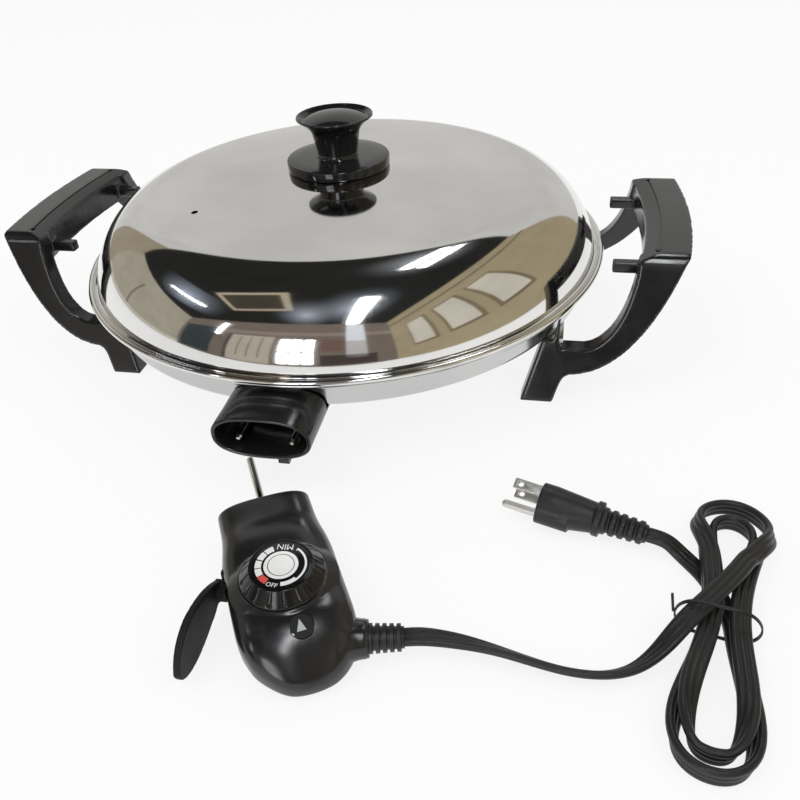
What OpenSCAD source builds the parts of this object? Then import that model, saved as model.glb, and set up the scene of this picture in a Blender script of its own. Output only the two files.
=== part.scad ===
// Round electric skillet: a shallow pan on two handle-and-leg mouldings,
// a lift-off domed lid, and a plug-in heat control on a flat mains lead.
// Origin: on the pan's axis at table height. +Z up, the socket faces -Y.

/* [Pan] */
// Outer radius of the pan wall at its rim
pan_r = 193; // [185:1:200]
// Height of the pan's underside above the table
pan_floor_z = 43; // [40:0.5:48]
// Height of the pan wall, underside to rim
pan_wall_h = 20; // [18:0.5:26]
// Sheet thickness of the pan
pan_t = 1.6; // [1.2:0.1:2.4]
// Outer corner radius between the wall and the bottom
pan_corner_r = 6; // [4:0.5:9]
// How far the wall leans outward over its height
pan_lean = 2; // [0:0.5:4]
// Width of the flat rim outside the wall
rim_w = 4.6; // [3.5:0.1:6]
// Radius of the rolled bead on the pan's rim
rim_bead_r = 2.2; // [1.8:0.1:2.6]

/* [Heat plate] */
// How far the heat plate's edge lies inside the pan wall
plate_in = 43; // [38:1:52]
// Thickness of the heat plate
plate_t = 8.6; // [8:0.1:11]
// Distance of the heating element's ring from the plate's edge
element_in = 35; // [25:1:60]
// Diameter of the element's tube
element_d = 6; // [5:0.1:6.6]
// Diameter of a terminal pin
pin_d = 4.8; // [4:0.1:5.6]
// Distance between the two terminal pins
pin_gap = 35; // [32:0.5:38]
// Diameter of the bore that takes the probe
probe_bore_d = 5.7; // [5.5:0.1:6.2]
// Wall of the probe sleeve
sleeve_t = 1.1; // [0.8:0.1:1.2]
// How far the probe sleeve reaches in from the plate's edge
sleeve_in = 60; // [50:1:70]

/* [Socket guard] */
// Outer width of the guard
guard_w = 64; // [62:0.5:70]
// Outer height of the guard
guard_h = 31; // [30:0.5:34]
// Wall of the guard
guard_t = 2.8; // [2:0.1:3]
// How far the guard's mouth stands out from the pan wall
guard_out = 34; // [28:0.5:40]
// How far the pins end behind the mouth
pin_recess = 6; // [3:0.5:10]

/* [Lid] */
// How far the lid's bead reaches past the pan's rim
lid_over = 3.2; // [2:0.2:5]
// Height of the lid's crown above its seat
lid_h = 65.4; // [55:0.2:75]
// Radius of the gently curved top
lid_crown_r = 1000; // [800:10:1300]
// Radius of the shoulder
lid_shoulder_r = 64; // [55:1:70]
// Sheet thickness of the lid
lid_t = 1.2; // [0.8:0.1:2]
// Radius of the lid's rolled bead
lid_bead_r = 2; // [1.6:0.1:2.4]
// Diameter of the steam vent
vent_d = 5; // [3:0.5:8]
// Distance of the vent from the lid's axis
vent_r = 118; // [90:1:130]
// Direction of the vent from the axis, in degrees
vent_a = 223; // [200:1:250]

/* [Knob] */
// Radius of the heat guard under the knob
knob_guard_r = 39; // [34:0.5:44]
// Thickness of the heat guard
knob_guard_t = 7.4; // [6:0.2:10]
// Height of the knob above the heat guard
knob_h = 30; // [26:0.5:36]
// Radius of the knob's flared lip
knob_lip_r = 28.6; // [25:0.2:32]
// Radius of the knob's neck where it starts
knob_neck_r = 15; // [13:0.5:17]
// Radius of the neck below the flare
knob_waist_r = 18; // [16:0.5:19.5]
// Diameter of the stud through the lid
stud_d = 5; // [4:0.5:6]

/* [Handles] */
// Gap between the pan wall and the grip
grip_gap = 31; // [28:0.5:38]
// Width of the grip
grip_w = 31.7; // [28:0.5:36]
// Length of the grip along its top
grip_len = 146.6; // [130:1:160]
// Height of the grip's top above the table
grip_top_z = 100.6; // [94:0.5:110]
// Depth of the grip
grip_h = 25; // [20:0.5:30]
// How far the grip's outer edge bows out
grip_bow = 6; // [3:0.5:8]
// Thickness of an arm
arm_t = 14; // [12:0.5:18]
// Distance between the outer faces of the feet
foot_len = 214.6; // [205:1:225]
// Width of a foot
foot_w = 23; // [20:0.5:27]
// Diameter of a handle screw
handle_screw_d = 4; // [3:0.5:5]
// Thickness of the steel bracket under the pan
bracket_t = 3; // [2:0.5:4]

/* [Heat control] */
// Length of the control's body
body_len = 117; // [112:1:124]
// Width of the body
body_w = 61; // [59:0.5:66]
// Width of the nose that enters the guard
nose_w = 54; // [52:0.5:55]
// Height of the nose
nose_h = 23.6; // [22:0.2:24]
// Diameter of the probe rod
rod_d = 5.2; // [4.6:0.1:5.4]
// How far the rod stands out of the nose
rod_out = 58; // [45:1:62]
// Radius of the dial at its foot
dial_r = 22.4; // [20:0.2:24]
// Radius of the dial's flat top
dial_top_r = 16.4; // [14:0.2:18]
// Height of the dial
dial_h = 8; // [6.5:0.5:10]
// Number of grip flutes around the dial
dial_flutes = 18; // [12:1:24]
// Tilt of the dial toward the cord end, in degrees
dial_tilt = 3; // [0:0.5:6]
// Diameter of the dial's shaft
shaft_d = 6; // [5:0.5:7]
// Diameter of the lamp window
lamp_d = 12; // [9:0.5:13]
// Length of the release lever
lever_len = 58; // [48:1:64]
// How far the lever stands open, in degrees
lever_open = 30; // [27:1:34]
// Length of the ribbed strain relief
relief_len = 18; // [15:1:20]

/* [Cord and plug] */
// Width of the flat cord
cord_w = 10.5; // [9:0.1:11]
// Thickness of the flat cord
cord_t = 4.2; // [3.6:0.1:4.6]
// Length of the plug's moulded body
plug_len = 37; // [34:1:40]
// Length of the plug's ribbed sleeve
plug_relief_len = 26; // [22:1:28]
// Length of a flat blade
blade_len = 17; // [15:0.5:18]
// Length of the round earth pin
ground_len = 21; // [19:0.5:22]
// Spacing of the two blades
blade_gap = 12.7; // [12.5:0.1:13]
// Offset of the earth pin from the blades
ground_gap = 11.9; // [11.7:0.1:12.1]

/* [Hidden] */
$fn = 96;
fine = 32;
gap = 0.3;
thin = 0.2;

// Shared curves
function arc(c, r, a0, a1, n = 12) =
    [for (i = [0:n]) let (a = a0 + (a1 - a0) * i / n) [c[0] + r * cos(a), c[1] + r * sin(a)]];
function bezier(p, n = 12) =
    [for (i = [0:n]) let (t = i / n, s = 1 - t)
        s * s * s * p[0] + 3 * s * s * t * p[1] + 3 * s * t * t * p[2] + t * t * t * p[3]];
function smooth(x) = let (t = min(max(x, 0), 1)) t * t * (3 - 2 * t);
function unit(v) = v / norm(v);
function flip(list) = [for (i = [len(list) - 1:-1:0]) list[i]];

// Heights of the pan and the lid
rim_z = pan_floor_z + pan_wall_h;
rim_top_z = rim_z + 2 * rim_bead_r;
rim_out_r = pan_r + rim_w + rim_bead_r;
plate_r = pan_r - plate_in;
element_r = plate_r - element_in;
lid_r = rim_out_r + lid_over;
pan_bottom_r = pan_r - pan_lean - pan_corner_r;
lid_seat_z = rim_top_z + thin;
lid_apex_z = lid_seat_z + lid_h;
lid_side_r = lid_r - lid_bead_r - 4;
shoulder_c = lid_side_r - lid_shoulder_r;
crown_c = lid_apex_z - lid_crown_r;
shoulder_z = crown_c + sqrt(pow(lid_crown_r - lid_shoulder_r, 2) - pow(shoulder_c, 2));
shoulder_a = atan2(shoulder_z - crown_c, shoulder_c);
side_a = asin((lid_seat_z + 2 * lid_bead_r - 0.6 - shoulder_z) / lid_shoulder_r);

// Heights of the knob
knob_z = lid_apex_z + thin;
knob_guard_top = knob_z + knob_guard_t;
knob_top = knob_guard_top + knob_h;
knob_well_z = knob_top - 2.5;
knob_cap_r = knob_lip_r - 5;

// Socket, pins and probe
pin_z = pan_floor_z - 4;
guard_z = pin_z + 6;
guard_front = -(pan_r + guard_out);
boss_front = -(plate_r + 10);
pin_tip = guard_front + pin_recess;
guard_back_t = 3;
sleeve_d = probe_bore_d + 2 * sleeve_t;
guard_screw_x = pin_gap / 4;
guard_power = 2.5;
bush_d = pin_d + 3;
bush_out = guard_back_t + 4;
guard_screw_d = 3;

// Handle outline
grip_x0 = pan_r + grip_gap;
grip_x1 = grip_x0 + grip_w;
grip_under = 9.6;
grip_r = (pow(grip_len / 2, 2) + pow(grip_bow, 2)) / (2 * grip_bow);
grip_c = grip_x1 + grip_bow - grip_r;
grip_in_r = norm([grip_x0 - grip_c, grip_len / 2]);
grip_a = asin(foot_len / 2 / grip_in_r);
foot_x0 = pan_r - 43.5;
foot_x1 = foot_x0 + foot_w;
arm_top_z = pan_floor_z - 6;
arm_bot_z = arm_top_z - 17.5;
post_top_z = rim_z - 1.4;
post_x1 = pan_r - 18.5;
leg_lean = 0.303;
end_slope = (foot_len - grip_len) / 2 / grip_top_z;
bracket_x = pan_r - 26;
bracket_w = 20;
bracket_len = foot_len - 2 * end_slope * pan_floor_z - 6;
handle_screw_y = foot_len / 2 - end_slope * pan_floor_z - arm_t / 2;
screw_head_z = arm_bot_z + 6;

// Heat control, built with its nose at the local origin and its tail along -Y
control_at = [11, -262, 0];
control_yaw = 29.2;
rod_z = 15;
nose_z = rod_z + guard_z - pin_z;
pocket_w = nose_w - 9;
pocket_z = nose_z - nose_h / 2 + 2.2;
pocket_h = nose_h - 5;
sleeve_out_d = pin_d + 1.6;
seam_z = 5;
dial_b = 65;
deck_z = 34.2;
collar_h = 5;
collar_flare = 1.22;
cavity_w = 44;
cavity_b0 = 30;
pocket_b = 22;
cavity_b1 = 92;
cavity_top = 24;
lamp_x = 2.5;
lamp_b = 96;
lamp_z = deck_z - 5;
lamp_tilt = 25;
lever_b = 43;
lever_x = -(body_w / 2 - 4);
lever_z0 = 8.6;
lever_z1 = 25.4;
lever_t = 4;
relief_z = 12;
relief_yaw = -18;
relief_at = [body_w / 2 + 3, -101.5, relief_z];
boss_r = 9.5;
boss_in = 15;

// Stations along the body: distance from the nose, half width, bottom, top and sideways shift
stations = [
    [0, nose_w / 2 - 1, nose_z - nose_h / 2 + 0.8, nose_z + nose_h / 2 - 0.8, 0],
    [1.2, nose_w / 2 - 0.2, nose_z - nose_h / 2 + 0.2, nose_z + nose_h / 2 - 0.2, 0],
    [3, nose_w / 2, nose_z - nose_h / 2, nose_z + nose_h / 2, 0],
    [18, nose_w / 2 + 0.2, nose_z - nose_h / 2 - 1, nose_z + nose_h / 2 + 0.4, 0],
    [27, body_w / 2 - 2.2, 2.5, deck_z + 0.4, 0],
    [36, body_w / 2 - 0.8, 0, deck_z + 1, 0],
    [48, body_w / 2, 0, deck_z + 0.6, 0],
    [66, body_w / 2, 0, deck_z - 0.2, 0],
    [82, body_w / 2, 0, deck_z - 1.4, 0.2],
    [90, body_w / 2 - 0.5, 0, deck_z - 2.6, 0.5],
    [97, body_w / 2 - 2, 0, deck_z - 5.4, 1],
    [103, body_w / 2 - 4.3, 0, deck_z - 9, 1.7],
    [110, body_w / 2 - 10.5, 0.4, deck_z - 14.8, 2],
    [body_len - 2.4, body_w / 2 - 17.3, 1.4, deck_z - 20, 1.8],
    [body_len, body_w / 2 - 25, 4, deck_z - 24.4, 1.7]];

// Cord routes: place and sideways tilt of the flat cord, in degrees
lead_route = [[135, -326.5, 8.6, 10], [153, -327.5, 6.6, 25], [172, -331, 5.5, 36], [190, -334, 5.4, 40],
              [207, -333, 5.4, 40], [220.5, -327.5, 5.8, 36], [231, -319, 9.5, 26], [239.5, -310, 15.4, 12],
              [247.5, -300.5, 18.6, 3], [256, -290.5, 19, 0], [264.5, -280, 19, 0], [272.5, -269.5, 18.4, 0],
              [279.5, -258.5, 17.4, 0]];
tail_route = [[270, -306.5, 5, 0], [270.5, -293, 3.4, 0], [268.5, -280.5, 2.4, 0], [264.5, -269, 2.3, 0],
              [259.5, -259, 2.3, 0], [254, -251.5, 2.4, 0], [247.5, -246, 4.8, 0]];

// Hank: two turns drawn in at the waist, one laid on the other and rolled on edge at the ends
hank_at = [266, -290, 0];
hank_axis = [0.186, 0.983, 0];
hank_side = [0.983, -0.186, 0];
hank_from = -50;
hank_to = 600;
hank_step = 15;
hank_waist = 6.5;
hank_long = [72, 88];
hank_bulge = [21, 37];
hank_spread = [10, 7];
hank_layer = cord_t + 0.7;
hank_low_z = 8.2;
hank_bulb_z = cord_w / 2 + 0.3;
hank_flat = 0.2;
hank_upright = 0.95;

// Plug, built with its face at the local origin and its sleeve along +X
plug_at = [169.6, -223.2, 12.6];
plug_yaw = -14.9;
plug_roll = 20;
plug_pitch = 3;

module place_control() {
    translate(control_at) rotate([0, 0, control_yaw]) children();
}

module place_dial() {
    place_control() dial_place() children();
}

module place_plug() {
    translate(plug_at) rotate([0, plug_pitch, plug_yaw]) rotate([plug_roll, 0, 0]) children();
}

module both_sides() {
    children();
    mirror([1, 0, 0]) children();
}

module both_ends() {
    children();
    mirror([0, 1, 0]) children();
}

// A bar that runs along -Y from y0 to y1
module bar_y(d, y0, y1) {
    translate([0, y0, 0]) rotate([90, 0, 0]) cylinder(d = d, h = y0 - y1);
}

// The space that the pan and its rim take, with clearance
module pan_space() {
    translate([0, 0, pan_floor_z - thin]) cylinder(r = pan_r + gap, h = pan_wall_h + 20);
    translate([0, 0, rim_z - gap]) cylinder(r = rim_out_r + gap, h = 20);
}

module pan_body() {
    wall_foot = pan_r - pan_lean;
    color("silver") rotate_extrude() polygon(concat(
        [[0, pan_floor_z]],
        arc([pan_bottom_r, pan_floor_z + pan_corner_r], pan_corner_r, -90, 0),
        [[wall_foot, pan_floor_z + pan_corner_r], [pan_r, rim_z]],
        arc([pan_r + rim_w, rim_z + rim_bead_r], rim_bead_r, -90, 90),
        [[pan_r - pan_t - 1, rim_top_z], [pan_r - pan_t, rim_top_z - pan_t],
         [wall_foot - pan_t, pan_floor_z + pan_corner_r]],
        arc([pan_bottom_r, pan_floor_z + pan_corner_r], pan_corner_r - pan_t, 0, -90),
        [[0, pan_floor_z + pan_t]]));
}

module heat_plate() {
    boss_w = pin_gap + 26;
    color("gainsboro") difference() {
        union() {
            translate([0, 0, pan_floor_z - plate_t]) cylinder(r = plate_r, h = plate_t);
            translate([-boss_w / 2, boss_front, pan_floor_z - plate_t])
                cube([boss_w, -boss_front - plate_r + 20, plate_t]);
        }
        element_shape(element_d + thin);
        translate([0, 0, pin_z]) bar_y(sleeve_d + thin, -plate_r + sleeve_in, boss_front - 1);
        for (side = [-1, 1]) translate([side * guard_screw_x, 0, pin_z])
            bar_y(guard_screw_d + thin, boss_front + 11, boss_front - 1);
    }
}

module element_shape(d) {
    open_a = asin(pin_gap / 2 / element_r);
    end_y = -element_r * cos(open_a);
    translate([0, 0, pin_z]) {
        rotate([0, 0, open_a - 90]) rotate_extrude(angle = 360 - 2 * open_a)
            translate([element_r, 0]) circle(d = d, $fn = fine);
        for (side = [-1, 1]) translate([side * pin_gap / 2, 0, 0]) {
            translate([0, end_y, 0]) sphere(d = 1.1 * d, $fn = fine);
            bar_y(d, end_y, boss_front);
        }
    }
}

module heating_element() {
    color("dimgray") element_shape(element_d);
}

module terminal_pins() {
    tip = 2;
    color("gainsboro") for (side = [-1, 1]) translate([side * pin_gap / 2, 0, pin_z]) {
        bar_y(pin_d - 0.8, boss_front, boss_front - bush_out - 1);
        bar_y(pin_d, boss_front - bush_out, pin_tip + tip);
        translate([0, pin_tip + tip, 0]) rotate([90, 0, 0])
            cylinder(d1 = pin_d, d2 = pin_d - 2.4, h = tip);
    }
}

module terminal_bushes() {
    color("ivory") for (side = [-1, 1]) translate([side * pin_gap / 2, 0, pin_z]) difference() {
        bar_y(bush_d, boss_front, boss_front - bush_out + thin);
        bar_y(pin_d - 0.8 + thin, boss_front + 1, boss_front - bush_out - 1);
    }
}

module probe_sleeve() {
    color("silver") translate([0, 0, pin_z]) difference() {
        bar_y(sleeve_d, -plate_r + sleeve_in, boss_front - guard_back_t - 3);
        bar_y(probe_bore_d, -plate_r + sleeve_in - 4, boss_front - guard_back_t - 4);
    }
}

// Oval with straight top and bottom
module oval(w, h) {
    square([w - h, h], center = true);
    for (side = [-1, 1]) translate([side * (w - h) / 2, 0]) circle(d = h);
}

// Oval that is fuller than an ellipse
module full_oval(w, h, power) {
    function part_sign(x) = x < 0 ? -1 : 1;
    polygon([for (i = [0:71]) let (c = cos(5 * i), s = sin(5 * i))
        [w / 2 * part_sign(c) * pow(abs(c), 2 / power), h / 2 * part_sign(s) * pow(abs(s), 2 / power)]]);
}

module socket_guard() {
    depth = boss_front - guard_front;
    lug_w = 7;
    lug_drop = 3;
    color("#1c1c1e") difference() {
        union() {
            translate([0, boss_front, guard_z]) rotate([90, 0, 0])
                linear_extrude(depth) full_oval(guard_w, guard_h, guard_power);
            translate([9, guard_front + 1, guard_z - guard_h / 2 - lug_drop]) cube([lug_w, 12, lug_drop + 3]);
        }
        translate([0, boss_front - guard_back_t, guard_z]) rotate([90, 0, 0])
            linear_extrude(depth) full_oval(guard_w - 2 * guard_t, guard_h - 2 * guard_t, guard_power);
        pan_space();
        for (side = [-1, 1]) {
            translate([side * pin_gap / 2, 0, pin_z]) bar_y(bush_d + thin, boss_front + 1, boss_front - 4);
            translate([side * guard_screw_x, 0, pin_z])
                bar_y(guard_screw_d + thin, boss_front + 1, boss_front - 4);
        }
        translate([0, 0, pin_z]) bar_y(sleeve_d + thin, boss_front + 1, boss_front - 4);
    }
}

module guard_screws() {
    head = 2;
    color("silver") for (side = [-1, 1]) translate([side * guard_screw_x, 0, pin_z]) {
        bar_y(guard_screw_d, boss_front + 10, boss_front - guard_back_t);
        bar_y(guard_screw_d + 1.6, boss_front - guard_back_t, boss_front - guard_back_t - head);
    }
}

// Outline of an arm, its leg and its post, seen from the front
function arm_outline() = concat(
    [[foot_x0, 0], [foot_x1, 0]],
    bezier([[foot_x1 + 3, arm_bot_z / 2], [foot_x1 + 5.5, arm_bot_z - 3],
            [foot_x1 + 7, arm_bot_z], [foot_x1 + 12, arm_bot_z]], 6),
    bezier([[foot_x1 + 14, arm_bot_z + 0.3], [grip_x1 - 34, arm_bot_z + 4.5],
            [grip_x1 - 12, grip_top_z - 35], [grip_x1, grip_top_z]], 16),
    bezier([[grip_x0, grip_top_z], [grip_x0 - 3, grip_top_z - 43],
            [grip_x0 - 18, arm_top_z], [grip_x0 - 36, arm_top_z]], 16),
    bezier([[post_x1 + 4, arm_top_z], [post_x1 + 1, arm_top_z],
            [post_x1, arm_top_z + 1], [post_x1, arm_top_z + 4]], 4),
    [[post_x1, post_top_z], [foot_x0 + leg_lean * post_top_z, post_top_z]]);

// Everything between the two sloping end planes, moved in by a depth
module between_ends(depth) {
    low = foot_len / 2 - depth;
    high = grip_len / 2 - depth;
    translate([grip_x1 + grip_bow + 5, 0, 0]) rotate([90, 0, -90])
        linear_extrude(grip_x1 + grip_bow + 5 - foot_x0 + 5)
            polygon([[-low, 0], [low, 0], [high, grip_top_z], [-high, grip_top_z]]);
}

// A section swept along the grip's bow, as far as an angle each way
module along_bow(angle) {
    translate([grip_c, 0, 0]) rotate([0, 0, -angle]) rotate_extrude(angle = 2 * angle, $fn = 360) children();
}

module handle() {
    lug_y = 56;
    lug_z = grip_top_z - 20.5;
    seam_r = grip_in_r + 9.5;
    seam_a = asin((grip_len / 2 - 10) / seam_r);
    color("#17171a") difference() {
        union() {
            intersection() {
                translate([0, foot_len, 0]) rotate([90, 0, 0])
                    linear_extrude(2 * foot_len) polygon(arm_outline());
                difference() {
                    between_ends(0);
                    translate([0, 0, -thin]) between_ends(arm_t);
                }
            }
            intersection() {
                along_bow(grip_a) polygon([
                    [grip_in_r - 0.5, grip_top_z - grip_h], [grip_r - grip_under, grip_top_z - grip_h],
                    [grip_r + 0.4, grip_top_z], [grip_in_r - 0.5, grip_top_z]]);
                between_ends(0);
            }
            both_ends() translate([grip_x0 - 17, lug_y - 4, lug_z]) cube([24, 8, 8]);
        }
        along_bow(seam_a) translate([seam_r - 0.6, grip_top_z - 0.8]) square([1.2, 2]);
        for (side = [-1, 1]) translate([grip_c, 0, 0]) rotate([0, 0, side * seam_a])
            translate([seam_r, 0, grip_top_z - 1.6]) cylinder(d = 3, h = 3, $fn = fine);
        pan_space();
        translate([bracket_x - bracket_w / 2 - thin, -bracket_len / 2 - thin, pan_floor_z - bracket_t - thin])
            cube([bracket_w + 2 * thin, bracket_len + 2 * thin, bracket_t + 2 * thin]);
        both_ends() translate([bracket_x, handle_screw_y, 0]) {
            translate([0, 0, -1]) cylinder(d = handle_screw_d + 4.6, h = screw_head_z + 1);
            cylinder(d = handle_screw_d + 2 * thin, h = pan_floor_z);
        }
    }
}

module handle_right() {
    handle();
}

module handle_left() {
    mirror([1, 0, 0]) handle();
}

module handle_brackets() {
    color("silver") both_sides() difference() {
        translate([bracket_x - bracket_w / 2, -bracket_len / 2, pan_floor_z - bracket_t])
            cube([bracket_w, bracket_len, bracket_t]);
        both_ends() translate([bracket_x, handle_screw_y, 0])
            cylinder(d = handle_screw_d + thin, h = pan_floor_z + 1);
    }
}

module handle_screws() {
    head = 2.6;
    color("silver") both_sides() both_ends() translate([bracket_x, handle_screw_y, 0]) {
        translate([0, 0, screw_head_z]) cylinder(d = handle_screw_d, h = pan_floor_z - thin - screw_head_z);
        translate([0, 0, screw_head_z - head]) cylinder(d = handle_screw_d + 3.6, h = head);
    }
}

// The lid's section, a distance in from its outer face
function lid_line(inset) = concat(
    arc([0, crown_c], lid_crown_r - inset, 90, shoulder_a, 16),
    arc([shoulder_c, shoulder_z], lid_shoulder_r - inset, shoulder_a, side_a, 20));

module lid_shell() {
    bead = [lid_r - lid_bead_r, lid_seat_z + lid_bead_r];
    color("gainsboro") difference() {
        rotate_extrude($fn = 180) polygon(concat(
            lid_line(0),
            arc(bead, lid_bead_r, 100, -90, 10),
            [[lid_side_r - lid_t - 0.4, lid_seat_z]],
            flip(lid_line(lid_t))));
        translate([0, 0, lid_apex_z - 6]) cylinder(d = stud_d + 2 * thin, h = 10, $fn = fine);
        rotate([0, 0, vent_a]) translate([vent_r, 0, lid_seat_z])
            cylinder(d = vent_d, h = lid_h + 5, $fn = fine);
    }
}

module knob_guard() {
    edge = 1.2;
    in_r = stud_d / 2 + thin;
    function under(r) = [r, knob_z - lid_crown_r + sqrt(pow(lid_crown_r, 2) - pow(r, 2))];
    color("#141416") rotate_extrude() polygon(concat(
        [for (i = [0:4]) under(in_r + (knob_guard_r - edge - in_r) * i / 4)],
        [[knob_guard_r, knob_z + edge], [knob_guard_r, knob_guard_top - 1.6 * edge]],
        arc([knob_guard_r - edge, knob_guard_top - 1.6 * edge], edge, 0, 80, 4),
        [[knob_neck_r + 5, knob_guard_top], [stud_d / 2 + thin, knob_guard_top]]));
}

module knob_grip() {
    flare_z = knob_guard_top + knob_h * 0.58;
    color("#141416") rotate_extrude() polygon(concat(
        [[stud_d / 2 + thin, knob_guard_top], [knob_neck_r + 1.5, knob_guard_top],
         [knob_neck_r, knob_guard_top + 3]],
        bezier([[knob_waist_r, flare_z], [knob_waist_r + 1, flare_z + 4],
                [knob_lip_r - 5, knob_top - 5], [knob_lip_r, knob_top - 1.4]], 10),
        arc([knob_lip_r - 0.8, knob_top - 0.8], 0.8, -30, 150, 5),
        [[knob_cap_r + 1, knob_well_z], [stud_d / 2 + thin, knob_well_z]]));
}

module knob_cap() {
    rise = 4.5;
    dome_r = (pow(knob_cap_r, 2) + pow(rise, 2)) / (2 * rise);
    color("#1b1b1d") translate([0, 0, knob_well_z]) intersection() {
        translate([0, 0, rise - dome_r]) sphere(r = dome_r);
        cylinder(r = knob_cap_r, h = rise + 1);
    }
}

module knob_stud() {
    color("silver") translate([0, 0, lid_apex_z - lid_t - 7])
        cylinder(d = stud_d, h = knob_well_z - thin - lid_apex_z + lid_t + 7, $fn = fine);
}

module knob_washer() {
    sag = lid_crown_r - lid_t - sqrt(pow(lid_crown_r - lid_t, 2) - 81);
    color("silver") translate([0, 0, lid_apex_z - lid_t - sag - 1.2]) difference() {
        cylinder(r = 9, h = 1.2, $fn = fine);
        translate([0, 0, -1]) cylinder(d = stud_d + thin, h = 4, $fn = fine);
    }
}

module knob_nut() {
    sag = lid_crown_r - lid_t - sqrt(pow(lid_crown_r - lid_t, 2) - 81);
    color("silver") translate([0, 0, lid_apex_z - lid_t - sag - 5.2]) difference() {
        cylinder(d = stud_d * 1.9, h = 4, $fn = 6);
        translate([0, 0, -1]) cylinder(d = stud_d + thin, h = 6, $fn = fine);
    }
}

// One closed loft of the control's outer form, a span between each two stations
module control_loft() {
    sides = 28;
    power = 0.66;
    function part_sign(x) = x < 0 ? -1 : 1;
    function ring(s) = [for (j = [0:sides - 1]) let (a = 360 * (j + 0.5) / sides, c = cos(a), d = sin(a))
        [s[4] + s[1] * part_sign(c) * pow(abs(c), power), -s[0],
         (s[2] + s[3]) / 2 + (s[3] - s[2]) / 2 * part_sign(d) * pow(abs(d), power)]];
    walls = [for (j = [0:sides - 1]) let (k = (j + 1) % sides)
        each [[j, k, sides + k], [j, sides + k, sides + j]]];
    front = [for (j = [1:sides - 2]) [0, j + 1, j]];
    back = [for (j = [1:sides - 2]) [sides, sides + j, sides + j + 1]];
    for (i = [0:len(stations) - 2])
        hull() polyhedron(concat(ring(stations[i]), ring(stations[i + 1])), concat(walls, front, back));
}

// Where the dial stands on the body
module dial_place() {
    translate([0, -dial_b, deck_z]) rotate([dial_tilt, 0, 0]) children();
}

// Rounded pocket of the nose, along -Y from y0 to y1
module nose_pocket(inset, y0, y1) {
    corner = 4;
    w = pocket_w / 2 - inset - corner;
    low = pocket_z + inset + corner;
    high = pocket_z + pocket_h - inset - corner;
    translate([0, y0, 0]) rotate([90, 0, 0]) linear_extrude(y0 - y1) hull()
        for (x = [-w, w]) for (z = [low, high]) translate([x, z]) circle(r = corner, $fn = fine);
}

module relief_axis() {
    translate(relief_at) rotate([0, 0, relief_yaw]) rotate([0, 90, 0]) children();
}

control_screw_spots = [[1, 56], [-1, 64], [0.62, 99], [-0.62, 99]];
control_screw_x = body_w / 2 - 4.6;

module control_top() {
    lever_cut_b = 18;
    color("#19191c") place_control() difference() {
        union() {
            intersection() {
                control_loft();
                translate([-body_w, -body_len - 10, seam_z]) cube([2 * body_w, body_len + 20, 60]);
            }
            dial_place() translate([0, 0, -collar_h])
                cylinder(r1 = dial_r + 0.4 + collar_flare * collar_h, r2 = dial_r + 0.4, h = collar_h);
        }
        relief_axis() translate([0, 0, -boss_in]) cylinder(r = boss_r + thin / 2, h = boss_in + 20);
        nose_pocket(0, 8, -pocket_b);
        translate([0, 0, rod_z]) bar_y(rod_d + thin, -pocket_b + 1, -cavity_b0 - 1);
        translate([-cavity_w / 2, -cavity_b1, seam_z - 1])
            cube([cavity_w, cavity_b1 - cavity_b0, cavity_top - seam_z + 1]);
        dial_place() {
            cylinder(r = dial_r + 1, h = 30);
            translate([0, 0, -16]) cylinder(d = shaft_d + 2 * thin, h = 20, $fn = fine);
        }
        lamp_axis() translate([0, 0, -12]) cylinder(d = lamp_d + 2 * thin, h = 30, $fn = 48);
        translate([lever_x, -lever_b, lever_z0]) {
            cylinder(r = 6.2, h = lever_z1 - lever_z0, $fn = 48);
            translate([-20, -lever_cut_b, 0]) cube([20, lever_cut_b + 2, lever_z1 - lever_z0]);
        }
        translate([lever_x, -lever_b, seam_z - 1]) cylinder(d = 3 + thin, h = 24, $fn = fine);
        for (s = control_screw_spots)
            translate([s[0] * control_screw_x, -s[1], seam_z - 1]) cylinder(d = 2.8, h = 11, $fn = fine);
    }
}

module lamp_axis() {
    translate([lamp_x, -lamp_b, lamp_z]) rotate([lamp_tilt, 0, 0]) children();
}

module control_base() {
    color("#19191c") place_control() difference() {
        intersection() {
            control_loft();
            translate([-body_w, -body_len - 10, 0]) cube([2 * body_w, body_len + 10 - 24, seam_z]);
        }
        relief_axis() translate([0, 0, -boss_in]) cylinder(r = boss_r + thin / 2, h = boss_in + 20);
        for (s = control_screw_spots) translate([s[0] * control_screw_x, -s[1], -1]) {
            cylinder(d = 3.2, h = seam_z + 2, $fn = fine);
            cylinder(d = 6.2, h = 3.2, $fn = fine);
        }
    }
}

module control_screws() {
    color("silver") place_control() for (s = control_screw_spots)
        translate([s[0] * control_screw_x, -s[1], 0]) {
            translate([0, 0, 2.2]) cylinder(d = 2.6, h = 12, $fn = fine);
            translate([0, 0, 0.8]) cylinder(d = 5.6, h = 1.4, $fn = fine);
        }
}

module contact_block() {
    block_t = 7;
    color("ivory") place_control() translate([0, 0, rod_z]) difference() {
        intersection() {
            translate([0, 0, -rod_z]) nose_pocket(thin / 2, -pocket_b + block_t, -pocket_b);
            translate([-nose_w, -pocket_b - 1, -nose_h]) cube([2 * nose_w, block_t + 2, nose_h + 4.4]);
        }
        bar_y(rod_d + thin, 0, -60);
        for (side = [-1, 1]) translate([side * pin_gap / 2, 0, 0]) bar_y(sleeve_out_d + thin, 0, -30);
    }
}

module contact_sleeves() {
    color("goldenrod") place_control() for (side = [-1, 1])
        translate([side * pin_gap / 2, 0, rod_z]) difference() {
            bar_y(sleeve_out_d, -4, -pocket_b);
            bar_y(pin_d + 2 * thin, 0, -pocket_b + 1);
        }
}

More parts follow.
